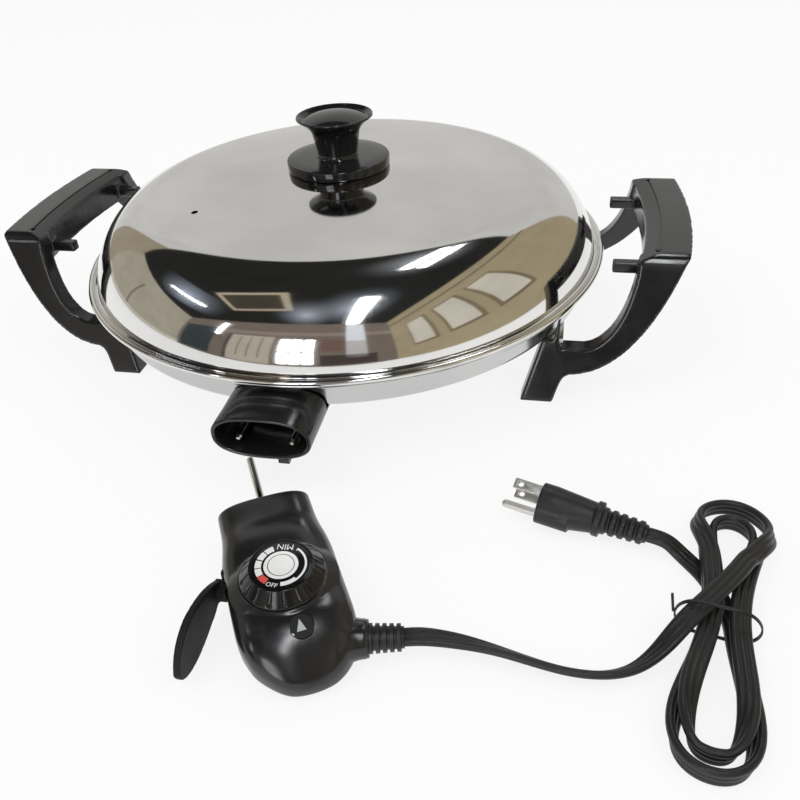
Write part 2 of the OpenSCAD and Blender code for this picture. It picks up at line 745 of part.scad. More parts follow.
module probe_rod() {
    color("silver") place_control() translate([0, 0, rod_z]) {
        bar_y(rod_d, rod_out - rod_d / 2, -42);
        translate([0, rod_out - rod_d / 2, 0]) sphere(d = rod_d, $fn = fine);
    }
}

module thermostat_block() {
    color("ivory") place_control() translate([-15, -86, seam_z]) cube([30, 41, 6]);
}

module bimetal_strip() {
    color("peru") place_control() {
        translate([-10, -84, seam_z + 6]) cube([8, 6, 3]);
        translate([-10, -84, seam_z + 9]) cube([8, 36, 0.9]);
    }
}

module contact_arm() {
    color("darkgoldenrod") place_control() {
        translate([3, -84, seam_z + 6]) cube([7, 6, 4.6]);
        translate([3, -84, seam_z + 10.6]) cube([7, 30, 0.8]);
    }
}

module neon_lamp() {
    color("orange") place_control() lamp_axis()
        translate([0, 0, -11.4]) cylinder(d = 5, h = 8, $fn = fine);
}

module lamp_lens() {
    color("#2a2224") place_control() lamp_axis()
        translate([0, 0, -3.4]) cylinder(d = lamp_d, h = 4, $fn = 48);
}

module lever_pin() {
    color("silver") place_control() translate([lever_x, -lever_b, seam_z])
        cylinder(d = 3, h = lever_z1 - seam_z + 2, $fn = fine);
}

// Leaf-shaped release lever; its arm and plate are drawn closed and swung open
module release_lever() {
    plate_x = body_w / 2 + 1 + lever_x;
    arm_h = 9;
    leaf = concat(
        bezier([[2, lever_z1 - 7.4], [lever_len * 0.35, lever_z1 + 6.6], [lever_len * 0.85, lever_z1 + 10.6],
                [lever_len, lever_z0 + 3.4]], 14),
        bezier([[lever_len, lever_z0 + 2.4], [lever_len * 0.98, -1], [lever_len * 0.5, -2.5],
                [2, lever_z0 + 3.4]], 14));
    color("#161618") place_control() translate([lever_x, -lever_b, 0]) rotate([0, 0, -lever_open])
        difference() {
            union() {
                translate([0, 0, lever_z0 + gap])
                    cylinder(r = 4.6, h = lever_z1 - lever_z0 - 2 * gap, $fn = 48);
                translate([-plate_x - lever_t, -9, lever_z0 + gap]) cube([plate_x + lever_t, 9, arm_h]);
                translate([-plate_x, 0, 0]) rotate([90, 0, -90]) linear_extrude(lever_t) polygon(leaf);
            }
            translate([0, 0, -1]) cylinder(d = 3 + 2 * thin, h = 40, $fn = fine);
        }
}

// Ribbed sleeve along +Z from the origin
module ribbed_sleeve(len, r0, r1, ribs) {
    pitch = len / ribs;
    function at(z) = r0 + (r1 - r0) * z / len;
    rotate_extrude($fn = 48) polygon(concat([[0, 0]],
        [for (i = [0:ribs - 1]) let (z = i * pitch)
            each [[at(z), z], [at(z), z + pitch * 0.55], [at(z) - 1.5, z + pitch * 0.62],
                  [at(z) - 1.5, z + pitch * 0.95]]],
        [[r1 - 1.2, len], [0, len]]));
}

module strain_relief() {
    color("#121213") place_control() relief_axis() {
        translate([0, 0, -boss_in]) cylinder(r = boss_r, h = boss_in);
        ribbed_sleeve(relief_len, 7.6, 6.8, 5);
    }
}

function turn_z(v, a) = [v[0] * cos(a) - v[1] * sin(a), v[0] * sin(a) + v[1] * cos(a), v[2]];
relief_dir = turn_z([1, 0, 0], control_yaw + relief_yaw);
relief_end = control_at + turn_z(relief_at, control_yaw) + relief_len * relief_dir;
plug_dir = turn_z([cos(plug_pitch), 0, -sin(plug_pitch)], plug_yaw);
plug_end = plug_at + (plug_len + plug_relief_len) * plug_dir;

// The hank's path: 0 degrees at the top, 90 on the left run, 180 at the bottom, 270 on the right run.
// Even half-turns are at the top. The first two lie on the last two, on the side that the normal faces.
function hank_half(t) = min(max(floor((t + 90) / 180), 0), 3);
function hank_base(t, k) = let (i = k % 2, c = cos(t), s = sin(t))
    hank_at + hank_long[i] * c * hank_axis - s * (hank_waist + hank_bulge[i] * c * c) * hank_side
        + [0, 0, hank_bulb_z + (hank_low_z - hank_bulb_z) * s * s];
function hank_normal_at(t, k) =
    let (along = hank_base(t + 0.5, k) - hank_base(t - 0.5, k), out = unit(cross(along, [0, 0, 1])),
         roll = 90 * smooth((pow(cos(t), 2) - hank_flat) / (hank_upright - hank_flat)))
    cos(roll) * [0, 0, 1] + sin(roll) * (k % 2 == 0 ? 1 : -1) * out;
function hank_climb(t, k) = k % 2 == 0 ? 1 - smooth((t - 180 * k + 90) / 75) : 0;
function hank_place(t, k) = let (upper = k < 2 ? 1 : 0)
    hank_base(t, k) + hank_normal_at(t, k)
        * (hank_layer * (upper + hank_climb(t, k)) + upper * hank_spread[k % 2] * pow(cos(t), 4));
function hank_point(t) = hank_place(t, hank_half(t));
function hank_tangent(t) = let (k = hank_half(t)) unit(hank_place(t + 0.5, k) - hank_place(t - 0.5, k));
function hank_normal(t) = hank_normal_at(t, hank_half(t));
hank_angles = [for (t = [hank_from:hank_step:hank_to]) t];
hank_path = [for (t = hank_angles) hank_point(t)];
hank_dirs = [for (t = hank_angles) hank_tangent(t)];
hank_normals = [for (t = hank_angles) hank_normal(t)];
hank_start_dir = hank_tangent(hank_from);
hank_end_dir = hank_tangent(hank_to);
hank_end = hank_point(hank_to);

// A route with straight ends, one cord width long, and its tilted normals
function route_points(a, a_dir, route, b, b_dir) = concat(
    [a, a + cord_w * a_dir], [for (p = route) [p[0], p[1], p[2]]], [b - cord_w * b_dir, b]);
function route_normals(route, first, last) = concat(
    [first, first], [for (p = route) [0, sin(p[3]), cos(p[3])]], [last, last]);
lead_path = route_points(relief_end, relief_dir, lead_route, hank_point(hank_from), hank_start_dir);
lead_normals = route_normals(lead_route, [0, 0, 1], hank_normal(hank_from));
tail_path = route_points(hank_end, hank_end_dir, tail_route, plug_end, -plug_dir);
tail_normals = route_normals(tail_route, hank_normal(hank_to), [0, 0, 1]);

// Flat cord section, with its full width and thickness
section_8 = [for (s = [[1, 0.45], [0.8, 1], [-0.8, 1], [-1, 0.45],
                       [-1, -0.45], [-0.8, -1], [0.8, -1], [1, -0.45]])
    [s[0] * cord_w / 2, s[1] * cord_t / 2]];
section_6 = [for (s = [[1, 0], [0.72, 1], [-0.72, 1], [-1, 0], [-0.72, -1], [0.72, -1]])
    [s[0] * cord_w / 2, s[1] * cord_t / 2]];

function path_dir(p, i) = unit(p[min(i + 1, len(p) - 1)] - p[max(i - 1, 0)]);
function path_dirs(p) = [for (i = [0:len(p) - 1]) path_dir(p, i)];
function cord_rings(path, dirs, normals, section) = [for (i = [0:len(path) - 1])
    let (w = unit(cross(normals[i], dirs[i])), n = cross(dirs[i], w))
        [for (s = section) path[i] + s[0] * w + s[1] * n]];

module flat_cord(path, dirs, normals, section) {
    m = len(section);
    n = len(path);
    rings = cord_rings(path, dirs, normals, section);
    points = [for (r = rings) each r];
    walls = [for (i = [0:n - 2]) for (j = [0:m - 1]) let (k = (j + 1) % m)
        each [[i * m + j, (i + 1) * m + k, i * m + k], [i * m + j, (i + 1) * m + j, (i + 1) * m + k]]];
    front = [for (j = [1:m - 2]) [0, j, j + 1]];
    back = [for (j = [1:m - 2]) let (o = (n - 1) * m) [o, o + j + 1, o + j]];
    polyhedron(points, concat(walls, front, back), convexity = 10);
}

module cord_lead() {
    color("#1d1d1e") flat_cord(lead_path, path_dirs(lead_path), lead_normals, section_8);
}

module cord_hank() {
    color("#1d1d1e") flat_cord(hank_path, hank_dirs, hank_normals, section_6);
}

module cord_tail() {
    color("#1d1d1e") flat_cord(tail_path, path_dirs(tail_path), tail_normals, section_8);
}

// Least distance between the corners of rings that are not neighbours
hank_rings = cord_rings(hank_path, hank_dirs, hank_normals, section_6);
hank_clear = min([for (i = [0:len(hank_rings) - 5]) for (j = [i + 4:len(hank_rings) - 1])
    for (p = hank_rings[i]) for (q = hank_rings[j]) norm(p - q)]);
function path_len(p, i = 1) = i < len(p) ? norm(p[i] - p[i - 1]) + path_len(p, i + 1) : 0;
cord_len = path_len(lead_path) + path_len(hank_path) + path_len(tail_path);
echo(hank_clear = hank_clear, cord_len = cord_len);

// Wire tie drawn round the hank's waist
module cord_tie() {
    tie_w = 42;
    tie_h = 24;
    wire = 0.9;
    lean = 10;
    color("#0e0e0f") translate(hank_at + [0, 0, tie_h / 2 + 0.05])
        rotate([0, 0, atan2(hank_axis[1], hank_axis[0]) - 90]) translate([-3.5, -8, 0]) rotate([90, 0, 0]) {
            linear_extrude(1.8) difference() {
                oval(tie_w, tie_h);
                oval(tie_w - 2 * wire, tie_h - 2 * wire);
            }
            translate([-tie_w / 2 - 1, 0, 0]) rotate([0, 0, lean]) cube([1.2, 12, 1.8]);
        }
}

module plug_body() {
    face_w = 26;
    face_h = 23;
    neck_r = 9;
    color("#161617") place_plug() {
        hull() {
            rotate([0, 90, 0]) linear_extrude(8) oval(face_h, face_h - 1, $fn = fine);
            translate([0, -4, 0]) rotate([0, 90, 0])
                linear_extrude(14) oval(face_h - 4, face_h - 5, $fn = fine);
            translate([plug_len - 6, 0, 0]) rotate([0, 90, 0]) cylinder(r = neck_r, h = 3, $fn = fine);
        }
        translate([0, -face_w / 2 + 6, 0]) rotate([0, 90, 0]) cylinder(r = 7, h = plug_len - 17, $fn = fine);
        translate([plug_len - 4, 0, 0]) rotate([0, 90, 0]) cylinder(r = neck_r + 1.4, h = 4, $fn = 48);
        translate([plug_len, 0, 0]) rotate([0, 90, 0]) ribbed_sleeve(plug_relief_len, 8, 6.6, 5);
    }
}

module plug_blades() {
    blade_w = 6.35;
    blade_t = 1.5;
    hole = 3.4;
    color("silver") place_plug() for (side = [-1, 1]) translate([0, 3.2, side * blade_gap / 2]) difference() {
        translate([-blade_len, -blade_w / 2, -blade_t / 2]) cube([blade_len, blade_w, blade_t]);
        translate([-blade_len + 4.2, 0, -3]) cylinder(d = hole, h = 6, $fn = fine);
    }
}

module plug_ground_pin() {
    pin = 4.8;
    color("silver") place_plug() translate([-ground_len + pin / 2, 3.2 - ground_gap, 0]) {
        rotate([0, 90, 0]) cylinder(d = pin, h = ground_len - pin / 2, $fn = fine);
        sphere(d = pin, $fn = fine);
    }
}

module dial_knob() {
    skirt = 1.2;
    rim = 0.8;
    slope = atan2(dial_r - dial_top_r, dial_h - skirt);
    color("#141416") place_dial() translate([0, 0, gap]) difference() {
        rotate_extrude() polygon([
            [shaft_d / 2, 0], [dial_r, 0], [dial_r, skirt], [dial_top_r + rim / 2, dial_h - rim / 2],
            [dial_top_r, dial_h], [dial_top_r - rim, dial_h], [dial_top_r - rim, dial_h - 1],
            [shaft_d / 2, dial_h - 1]]);
        for (i = [0:dial_flutes - 1]) rotate([0, 0, 360 * i / dial_flutes])
            translate([(dial_r + dial_top_r) / 2 + 0.5, 0, (skirt + dial_h) / 2 + 0.5])
                rotate([0, 180 - slope, 0]) translate([0, 0, -3.4]) cylinder(r = 1.3, h = 9, $fn = 16);
    }
}

module dial_plate() {
    color("white") place_dial() translate([0, 0, gap + dial_h - 1]) cylinder(r = dial_top_r - 1, h = 0.8);
}

module dial_shaft() {
    color("silver") place_dial() translate([0, 0, -14])
        cylinder(d = shaft_d, h = 14 + gap + dial_h - 1, $fn = fine);
}

pan_body();
heat_plate();
heating_element();
terminal_pins();
terminal_bushes();
probe_sleeve();
socket_guard();
guard_screws();
handle_right();
handle_left();
handle_brackets();
handle_screws();
lid_shell();
knob_guard();
knob_grip();
knob_cap();
knob_stud();
knob_washer();
knob_nut();
control_top();
control_base();
control_screws();
contact_block();
contact_sleeves();
probe_rod();
thermostat_block();
bimetal_strip();
contact_arm();
neon_lamp();
lamp_lens();
lever_pin();
strain_relief();
cord_lead();
cord_hank();
cord_tail();
cord_tie();
plug_body();
plug_blades();
plug_ground_pin();
dial_knob();
dial_plate();
dial_shaft();
release_lever();
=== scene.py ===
import math

import bmesh
import bpy
from mathutils import Matrix, Vector


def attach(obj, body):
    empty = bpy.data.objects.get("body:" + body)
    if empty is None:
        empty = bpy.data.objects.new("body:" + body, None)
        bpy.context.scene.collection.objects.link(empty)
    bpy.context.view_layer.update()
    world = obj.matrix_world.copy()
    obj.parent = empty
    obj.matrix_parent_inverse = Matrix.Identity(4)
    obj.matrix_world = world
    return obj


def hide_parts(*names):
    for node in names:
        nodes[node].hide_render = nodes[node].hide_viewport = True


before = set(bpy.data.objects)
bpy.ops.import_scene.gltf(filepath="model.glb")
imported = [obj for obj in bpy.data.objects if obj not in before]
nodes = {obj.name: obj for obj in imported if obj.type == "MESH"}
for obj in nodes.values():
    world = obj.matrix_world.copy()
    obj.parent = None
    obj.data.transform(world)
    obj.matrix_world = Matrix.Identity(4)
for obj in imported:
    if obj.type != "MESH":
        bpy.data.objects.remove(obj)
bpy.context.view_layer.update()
MM = 0.001
UP = Vector((0, 0, 1))
scene = bpy.context.scene
scene.view_settings.view_transform = "Standard"

# Camera, fitted to the rim, the knob, the handles and the feet; degrees and millimetres
CAMERA_AZIMUTH, CAMERA_ELEVATION, CAMERA_ROLL = 13.33, 36.31, 3.90
CAMERA_AWAY, CAMERA_RIGHT, CAMERA_DOWN = 685.7, 34.22, 76.24
CAMERA_LENS, CAMERA_SENSOR = 35.67, 36
CAMERA_CLIP_M = 50


def set_camera():
    azimuth, elevation, roll = (math.radians(v) for v in (CAMERA_AZIMUTH, CAMERA_ELEVATION, CAMERA_ROLL))
    distance = CAMERA_AWAY * MM
    back = Vector((math.sin(azimuth) * math.cos(elevation), -math.cos(azimuth) * math.cos(elevation),
                   math.sin(elevation)))
    right = Vector((math.cos(azimuth), math.sin(azimuth), 0))
    up = back.cross(right)
    x = right * math.cos(roll) - up * math.sin(roll)
    y = right * math.sin(roll) + up * math.cos(roll)
    cam = bpy.data.cameras.new("camera")
    cam.lens = CAMERA_LENS
    cam.sensor_width = CAMERA_SENSOR
    cam.sensor_fit = "HORIZONTAL"
    cam.clip_end = CAMERA_CLIP_M
    obj = bpy.data.objects.new("camera", cam)
    obj.matrix_world = Matrix((x, y, back)).transposed().to_4x4()
    obj.location = right * CAMERA_RIGHT * MM - up * CAMERA_DOWN * MM + back * distance
    scene.collection.objects.link(obj)
    scene.camera = obj


# Materials
class Look:
    """A material with its nodes at hand, in object coordinates."""

    def __init__(self, name):
        self.mat = bpy.data.materials.new(name)
        self.mat.use_nodes = True
        self.nt = self.mat.node_tree
        self.bsdf = self.nt.nodes["Principled BSDF"]
        self.coord = self.nt.nodes.new("ShaderNodeTexCoord")

    def set(self, **values):
        for key, value in values.items():
            self.bsdf.inputs[key.replace("_", " ")].default_value = value
        return self

    def noise(self, scale, detail, rough=0.5, stretch=None):
        n = self.nt.nodes.new("ShaderNodeTexNoise")
        n.inputs["Scale"].default_value = scale
        n.inputs["Detail"].default_value = detail
        n.inputs["Roughness"].default_value = rough
        source = self.coord.outputs["Object"]
        if stretch:
            m = self.nt.nodes.new("ShaderNodeMapping")
            m.inputs["Scale"].default_value = stretch
            self.nt.links.new(source, m.inputs["Vector"])
            source = m.outputs["Vector"]
        self.nt.links.new(source, n.inputs["Vector"])
        return n.outputs["Fac"]

    def span(self, fac, low, high, start=0.3, stop=0.7):
        m = self.nt.nodes.new("ShaderNodeMapRange")
        m.inputs["From Min"].default_value = start
        m.inputs["From Max"].default_value = stop
        m.inputs["To Min"].default_value = low
        m.inputs["To Max"].default_value = high
        self.nt.links.new(fac, m.inputs["Value"])
        return m.outputs["Result"]

    def rough(self, fac, limits):
        self.nt.links.new(self.span(fac, *limits), self.bsdf.inputs["Roughness"])
        return self

    def tint(self, fac, dark, light):
        m = self.nt.nodes.new("ShaderNodeMix")
        m.data_type = "RGBA"
        m.inputs["A"].default_value = (*dark, 1)
        m.inputs["B"].default_value = (*light, 1)
        self.nt.links.new(self.span(fac, 0, 1), m.inputs["Factor"])
        self.nt.links.new(m.outputs["Result"], self.bsdf.inputs["Base Color"])
        return self

    def bump(self, fac, strength, distance):
        b = self.nt.nodes.new("ShaderNodeBump")
        b.inputs["Strength"].default_value = strength
        b.inputs["Distance"].default_value = distance
        self.nt.links.new(fac, b.inputs["Height"])
        self.nt.links.new(b.outputs["Normal"], self.bsdf.inputs["Normal"])
        return self


def plastic(name, colour, rough, grain=900, bump=0.05, gloss=0.5):
    look = Look(name).set(Specular_IOR_Level=gloss)
    lighter = tuple(min(1, c * 1.4 + 0.001) for c in colour)
    look.tint(look.noise(scale=18, detail=5), colour, lighter).rough(look.noise(scale=60, detail=6), rough)
    return look.bump(look.noise(scale=grain, detail=2), bump, distance=0.0002).mat


def metal(name, colour, rough, stretch=None, bump=0.02, scale=120):
    look = Look(name).set(Metallic=1.0)
    darker = tuple(c * 0.86 for c in colour)
    look.tint(look.noise(scale=9, detail=4), darker, colour)
    look.rough(look.noise(scale, detail=5, rough=0.6, stretch=stretch), rough)
    return look.bump(look.noise(scale * 4, detail=3, rough=0.6, stretch=stretch), bump, distance=0.0001).mat


BLACK = (0.009, 0.009, 0.0095)
phenolic = plastic("phenolic", BLACK, (0.12, 0.22), bump=0.03, gloss=0.58)
housing = plastic("housing", (0.01, 0.01, 0.0105), (0.15, 0.26), grain=1200, gloss=0.6)
lever_black = plastic("lever_black", BLACK, (0.5, 0.65), grain=1200, bump=0.06, gloss=0.22)
knob_black = plastic("knob_black", BLACK, (0.06, 0.14), bump=0.02)
dial_black = plastic("dial_black", (0.004, 0.004, 0.0045), (0.1, 0.2), bump=0.02)
rubber = plastic("rubber", BLACK, (0.34, 0.5), grain=1500, bump=0.1)
lens = plastic("lens", (0.007, 0.007, 0.0075), (0.3, 0.42), bump=0.02, gloss=0.15)
ceramic = plastic("ceramic", (0.72, 0.69, 0.62), (0.45, 0.7), grain=700, bump=0.1)
white_print = plastic("white_print", (0.62, 0.615, 0.605), (0.4, 0.55))
red_print = plastic("red_print", (0.52, 0.045, 0.03), (0.4, 0.55))
# Painted reflection: this grey colours the triangle laid on the lamp window, which stands in for a reflection
# on the lens.
painted_reflection_grey = plastic("painted_reflection_grey", (0.33, 0.34, 0.35), (0.3, 0.5))
polished = metal("polished", (0.80, 0.795, 0.78), (0.05, 0.08), bump=0.0, scale=30)
pan_steel = metal("pan_steel", (0.60, 0.60, 0.595), (0.14, 0.2), bump=0.0, scale=60)
satin = metal("satin", (0.62, 0.615, 0.60), (0.2, 0.34), (1, 1, 14), bump=0.04, scale=160)
cast = metal("cast", (0.52, 0.52, 0.51), (0.4, 0.6), bump=0.12, scale=200)
nickel = metal("nickel", (0.72, 0.70, 0.66), (0.36, 0.5), (1, 8, 8), bump=0.03, scale=260)
pin_metal = metal("pin_metal", (0.74, 0.73, 0.70), (0.04, 0.09), bump=0.0, scale=200)
brass = metal("brass", (0.72, 0.53, 0.25), (0.2, 0.35))
element = metal("element", (0.22, 0.21, 0.20), (0.35, 0.5))
lamp_glass = plastic("lamp_glass", (0.7, 0.3, 0.1), (0.1, 0.2))

node_looks = {
    "heat_plate": cast, "heating_element": element, "terminal_pins": pin_metal, "terminal_bushes": ceramic,
    "probe_sleeve": satin, "guard_screws": satin, "handle_brackets": satin, "handle_screws": satin,
    "knob_stud": satin, "knob_washer": satin, "knob_nut": satin, "control_screws": satin,
    "contact_block": ceramic, "contact_sleeves": brass, "probe_rod": pin_metal, "thermostat_block": ceramic,
    "bimetal_strip": brass, "contact_arm": brass, "neon_lamp": lamp_glass, "lever_pin": satin,
    "dial_shaft": satin, "plug_ground_pin": nickel, "strain_relief": rubber, "lamp_lens": lens,
}
for name, mat in node_looks.items():
    nodes[name].data.materials.clear()
    nodes[name].data.materials.append(mat)


# Lines and faces, in millimetres
NO_RADIUS = 1e-6


def arc(c, r, a0, a1, n=12):
    return [(c[0] + r * math.cos(math.radians(a0 + (a1 - a0) * i / n)),
             c[1] + r * math.sin(math.radians(a0 + (a1 - a0) * i / n))) for i in range(n + 1)]


def bezier(p, n=12):
    out = []
    for i in range(n + 1):
        t = i / n
        s = 1 - t
        w = (s * s * s, 3 * s * s * t, 3 * s * t * t, t * t * t)
        out.append(tuple(sum(w[k] * p[k][j] for k in range(4)) for j in range(len(p[0]))))
    return out


def smooth(x):
    t = min(max(x, 0), 1)
    return t * t * (3 - 2 * t)


def squared(v, power):
    """A sine or cosine bent so that it draws an oval with fuller corners."""
    return math.copysign(abs(v) ** power, v)


def around(rows, i):
    """The four rows that shape the stretch from row i to the next."""
    return rows[max(i - 1, 0)], rows[i], rows[i + 1], rows[min(i + 2, len(rows) - 1)]


def held_curve(rows, per):
    """A smooth line through the rows, with slopes held so that it doesn't swing past them."""
    out = []
    for i in range(len(rows) - 1):
        for j in range(per):
            t = j / per
            q = []
            for a, b, c, d in zip(*around(rows, i)):
                m1 = 0 if (b - a) * (c - b) <= 0 else (c - a) / 2
                m2 = 0 if (c - b) * (d - c) <= 0 else (d - b) / 2
                q.append((2 * t ** 3 - 3 * t ** 2 + 1) * b + (t ** 3 - 2 * t ** 2 + t) * m1
                         + (-2 * t ** 3 + 3 * t ** 2) * c + (t ** 3 - t ** 2) * m2)
            out.append(tuple(q))
    out.append(tuple(rows[-1]))
    return out


def free_curve(rows, per):
    """A smooth line through the rows, without the last of them."""
    out = []
    for i in range(len(rows) - 1):
        fours = list(zip(*around(rows, i)))
        for j in range(per):
            t = j / per
            out.append([0.5 * (2 * b + (c - a) * t + (2 * a - 5 * b + 4 * c - d) * t * t
                               + (3 * b - a - 3 * c + d) * t ** 3) for a, b, c, d in fours])
    return out


def lathe(profile, steps, move=None, closed=True):
    """Points and faces of a profile of (r, z) turned about Z; a profile that meets the axis ends in poles."""
    verts, faces, rows = [], [], []
    for k, (r, z) in enumerate(profile):
        if r < NO_RADIUS:
            rows.append([len(verts)])
            verts.append((0, 0, z))
            continue
        row = []
        for i in range(steps):
            a = 2 * math.pi * i / steps
            rr = r - (move(k, a) if move else 0)
            row.append(len(verts))
            verts.append((rr * math.cos(a), rr * math.sin(a), z))
        rows.append(row)
    pairs = list(zip(rows, rows[1:])) + ([(rows[-1], rows[0])] if closed else [])
    for low, high in pairs:
        for i in range(steps):
            j = (i + 1) % steps
            if len(low) == 1 and len(high) == 1:
                break
            if len(low) == 1:
                faces.append((low[0], high[j], high[i]))
            elif len(high) == 1:
                faces.append((low[i], low[j], high[0]))
            else:
                faces.append((low[i], low[j], high[j], high[i]))
    return verts, faces


def tube_faces(rows, sides):
    """Faces of a tube with closed ends, whose points are listed row by row."""
    faces = []
    for low in range(0, (rows - 1) * sides, sides):
        high = low + sides
        for j in range(sides):
            k = (j + 1) % sides
            faces.append((low + j, low + k, high + k, high + j))
    last = (rows - 1) * sides
    return faces + [tuple(range(sides))[::-1], tuple(range(last, last + sides))]


def moved(m, verts):
    return [tuple(m @ Vector(v)) for v in verts]


def turned(v, degrees):
    return Matrix.Rotation(math.radians(degrees), 3, "Z") @ Vector(v)


# Objects
WELD_M = 2e-6


def linked(name, mesh):
    obj = bpy.data.objects.new(name, mesh)
    scene.collection.objects.link(obj)
    return obj


def finish_mesh(obj, sharp=35):
    for poly in obj.data.polygons:
        poly.use_smooth = True
    obj.data.set_sharp_from_angle(angle=math.radians(sharp))


def add(name, verts, faces, mat, body, replaced=(), sharp=35):
    """A mesh from points in millimetres, riding on a body."""
    mesh = bpy.data.meshes.new(name)
    mesh.from_pydata([tuple(c * MM for c in v) for v in verts], [], faces)
    mesh.validate()
    mesh.materials.append(mat)
    obj = linked(name, mesh)
    finish_mesh(obj, sharp)
    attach(obj, body)
    if replaced:
        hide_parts(*replaced)
    return obj


def cutter(name, verts, faces, m):
    """A closed form to cut away or to join, which carve uses up."""
    mesh = bpy.data.meshes.new(name)
    mesh.from_pydata([tuple(c * MM for c in v) for v in moved(m, verts)], [], faces)
    bm = bmesh.new()
    bm.from_mesh(mesh)
    bmesh.ops.recalc_face_normals(bm, faces=bm.faces)
    bm.to_mesh(mesh)
    bm.free()
    return linked(name, mesh)


def box_cut(name, low, high, m):
    x, y, z = zip(low, high)
    verts = [(x[i], y[j], z[k]) for i in (0, 1) for j in (0, 1) for k in (0, 1)]
    faces = [(0, 1, 3, 2), (4, 6, 7, 5), (0, 4, 5, 1), (2, 3, 7, 6), (0, 2, 6, 4), (1, 5, 7, 3)]
    return cutter(name, verts, faces, m)


def round_cut(name, r, low, high, m, steps=96):
    verts, faces = lathe([(0, low), (r, low), (r, high), (0, high)], steps, closed=False)
    return cutter(name, verts, faces, m)


def carve(obj, cuts, joins=()):
    """Applies the modifiers that the object has, then joins and cuts the given forms."""
    for c in [*joins, *cuts]:
        mod = obj.modifiers.new("cut", "BOOLEAN")
        mod.operation = "UNION" if c in joins else "DIFFERENCE"
        mod.solver = "EXACT"
        mod.object = c
    deps = bpy.context.evaluated_depsgraph_get()
    mesh = bpy.data.meshes.new_from_object(obj.evaluated_get(deps))
    obj.modifiers.clear()
    obj.data = mesh
    for c in [*joins, *cuts]:
        bpy.data.objects.remove(c)


def welded(node):
    """The CAD node's form with doubled points joined."""
    bm = bmesh.new()
    bm.from_mesh(nodes[node].data)
    bmesh.ops.remove_doubles(bm, verts=bm.verts, dist=WELD_M)
    return bm


def form_object(node, bm, mat):
    mesh = bpy.data.meshes.new(node + "_form")
    bm.to_mesh(mesh)
    bm.free()
    mesh.materials.append(mat)
    return linked(node + "_form", mesh)


def softened(node, body, mat, width, steps):
    """The CAD node's own form with rounded edges, in place of the node."""
    flat, corner = math.radians(0.6), math.radians(28)
    bm = welded(node)
    bmesh.ops.dissolve_limit(bm, angle_limit=flat, verts=bm.verts, edges=bm.edges)
    edges = [e for e in bm.edges if len(e.link_faces) == 2 and e.calc_face_angle(0) > corner]
    bmesh.ops.bevel(bm, geom=edges, offset=width * MM, segments=steps, profile=0.6, affect="EDGES",
                    clamp_overlap=True)
    obj = form_object(node, bm, mat)
    finish_mesh(obj, sharp=40)
    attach(obj, body)
    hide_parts(node)


def moulded(node, body, mat, grain, rounds, before=(), shape=None, after=()):
    """The CAD node's form with all its edges rounded as in a mould, in place of the node."""
    obj = form_object(node, welded(node), mat)
    carve(obj, before)
    voxel = obj.modifiers.new("voxel", "REMESH")
    voxel.mode = "VOXEL"
    voxel.voxel_size = grain * MM
    carve(obj, ())
    if shape:
        for v in obj.data.vertices:
            v.co = shape(v.co / MM) * MM
    round_off = obj.modifiers.new("round", "SMOOTH")
    round_off.factor = 0.5
    round_off.iterations = rounds
    carve(obj, after)
    finish_mesh(obj)
    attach(obj, body)
    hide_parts(node)


# Pan and lid
PAN_R, PAN_FLOOR, RIM_Z = 193.0, 43.0, 63.0
PAN_T, PAN_CORNER, PAN_LEAN, RIM_W, RIM_BEAD = 1.6, 6.0, 2.0, 4.6, 2.2
PAN_RINGS, WALL_MID, RIM_EASE = (60, 120), 13, 1
RIM_TOP = RIM_Z + 2 * RIM_BEAD
LID_R, LID_SEAT, LID_H, LID_FLANGE = 203.0, RIM_TOP + 0.2, 65.4, 4
CROWN_R, SHOULDER_R, LID_T, LID_BEAD = 1000.0, 64.0, 1.2, 2.0
SHOULDER_DROP, SEAT_EASE = 0.6, 0.4
VALLEY = [(0.25, -0.9), (0.5, -1.6), (1.2, -1.7), (1.7, -1.0)]
RIDGE_AT, RIDGE_R, RIDGE_END = (2.2, -1.0), 0.5, (2.9, -1.3)
VENT_R, VENT_A, VENT_HOLE = 118.0, 223.0, 2.5


def make_pan():
    foot, bottom = PAN_R - PAN_LEAN, PAN_R - PAN_LEAN - PAN_CORNER
    corner = (bottom, PAN_FLOOR + PAN_CORNER)
    profile = [(r, PAN_FLOOR) for r in (0, *PAN_RINGS)] + arc(corner, PAN_CORNER, -90, 0)
    profile += [(foot + PAN_LEAN / 2, PAN_FLOOR + WALL_MID), (PAN_R, RIM_Z)]
    profile += arc((PAN_R + RIM_W, RIM_Z + RIM_BEAD), RIM_BEAD, -90, 90, 16)
    profile += [(PAN_R - PAN_T - RIM_EASE, RIM_TOP), (PAN_R - PAN_T, RIM_TOP - PAN_T)]
    profile += arc(corner, PAN_CORNER - PAN_T, 0, -90)
    profile += [(r, PAN_FLOOR + PAN_T) for r in (*PAN_RINGS[::-1], 0)]
    verts, faces = lathe(profile, 192, closed=False)
    add("pan", verts, faces, pan_steel, "pan", ["pan_body"], 30)


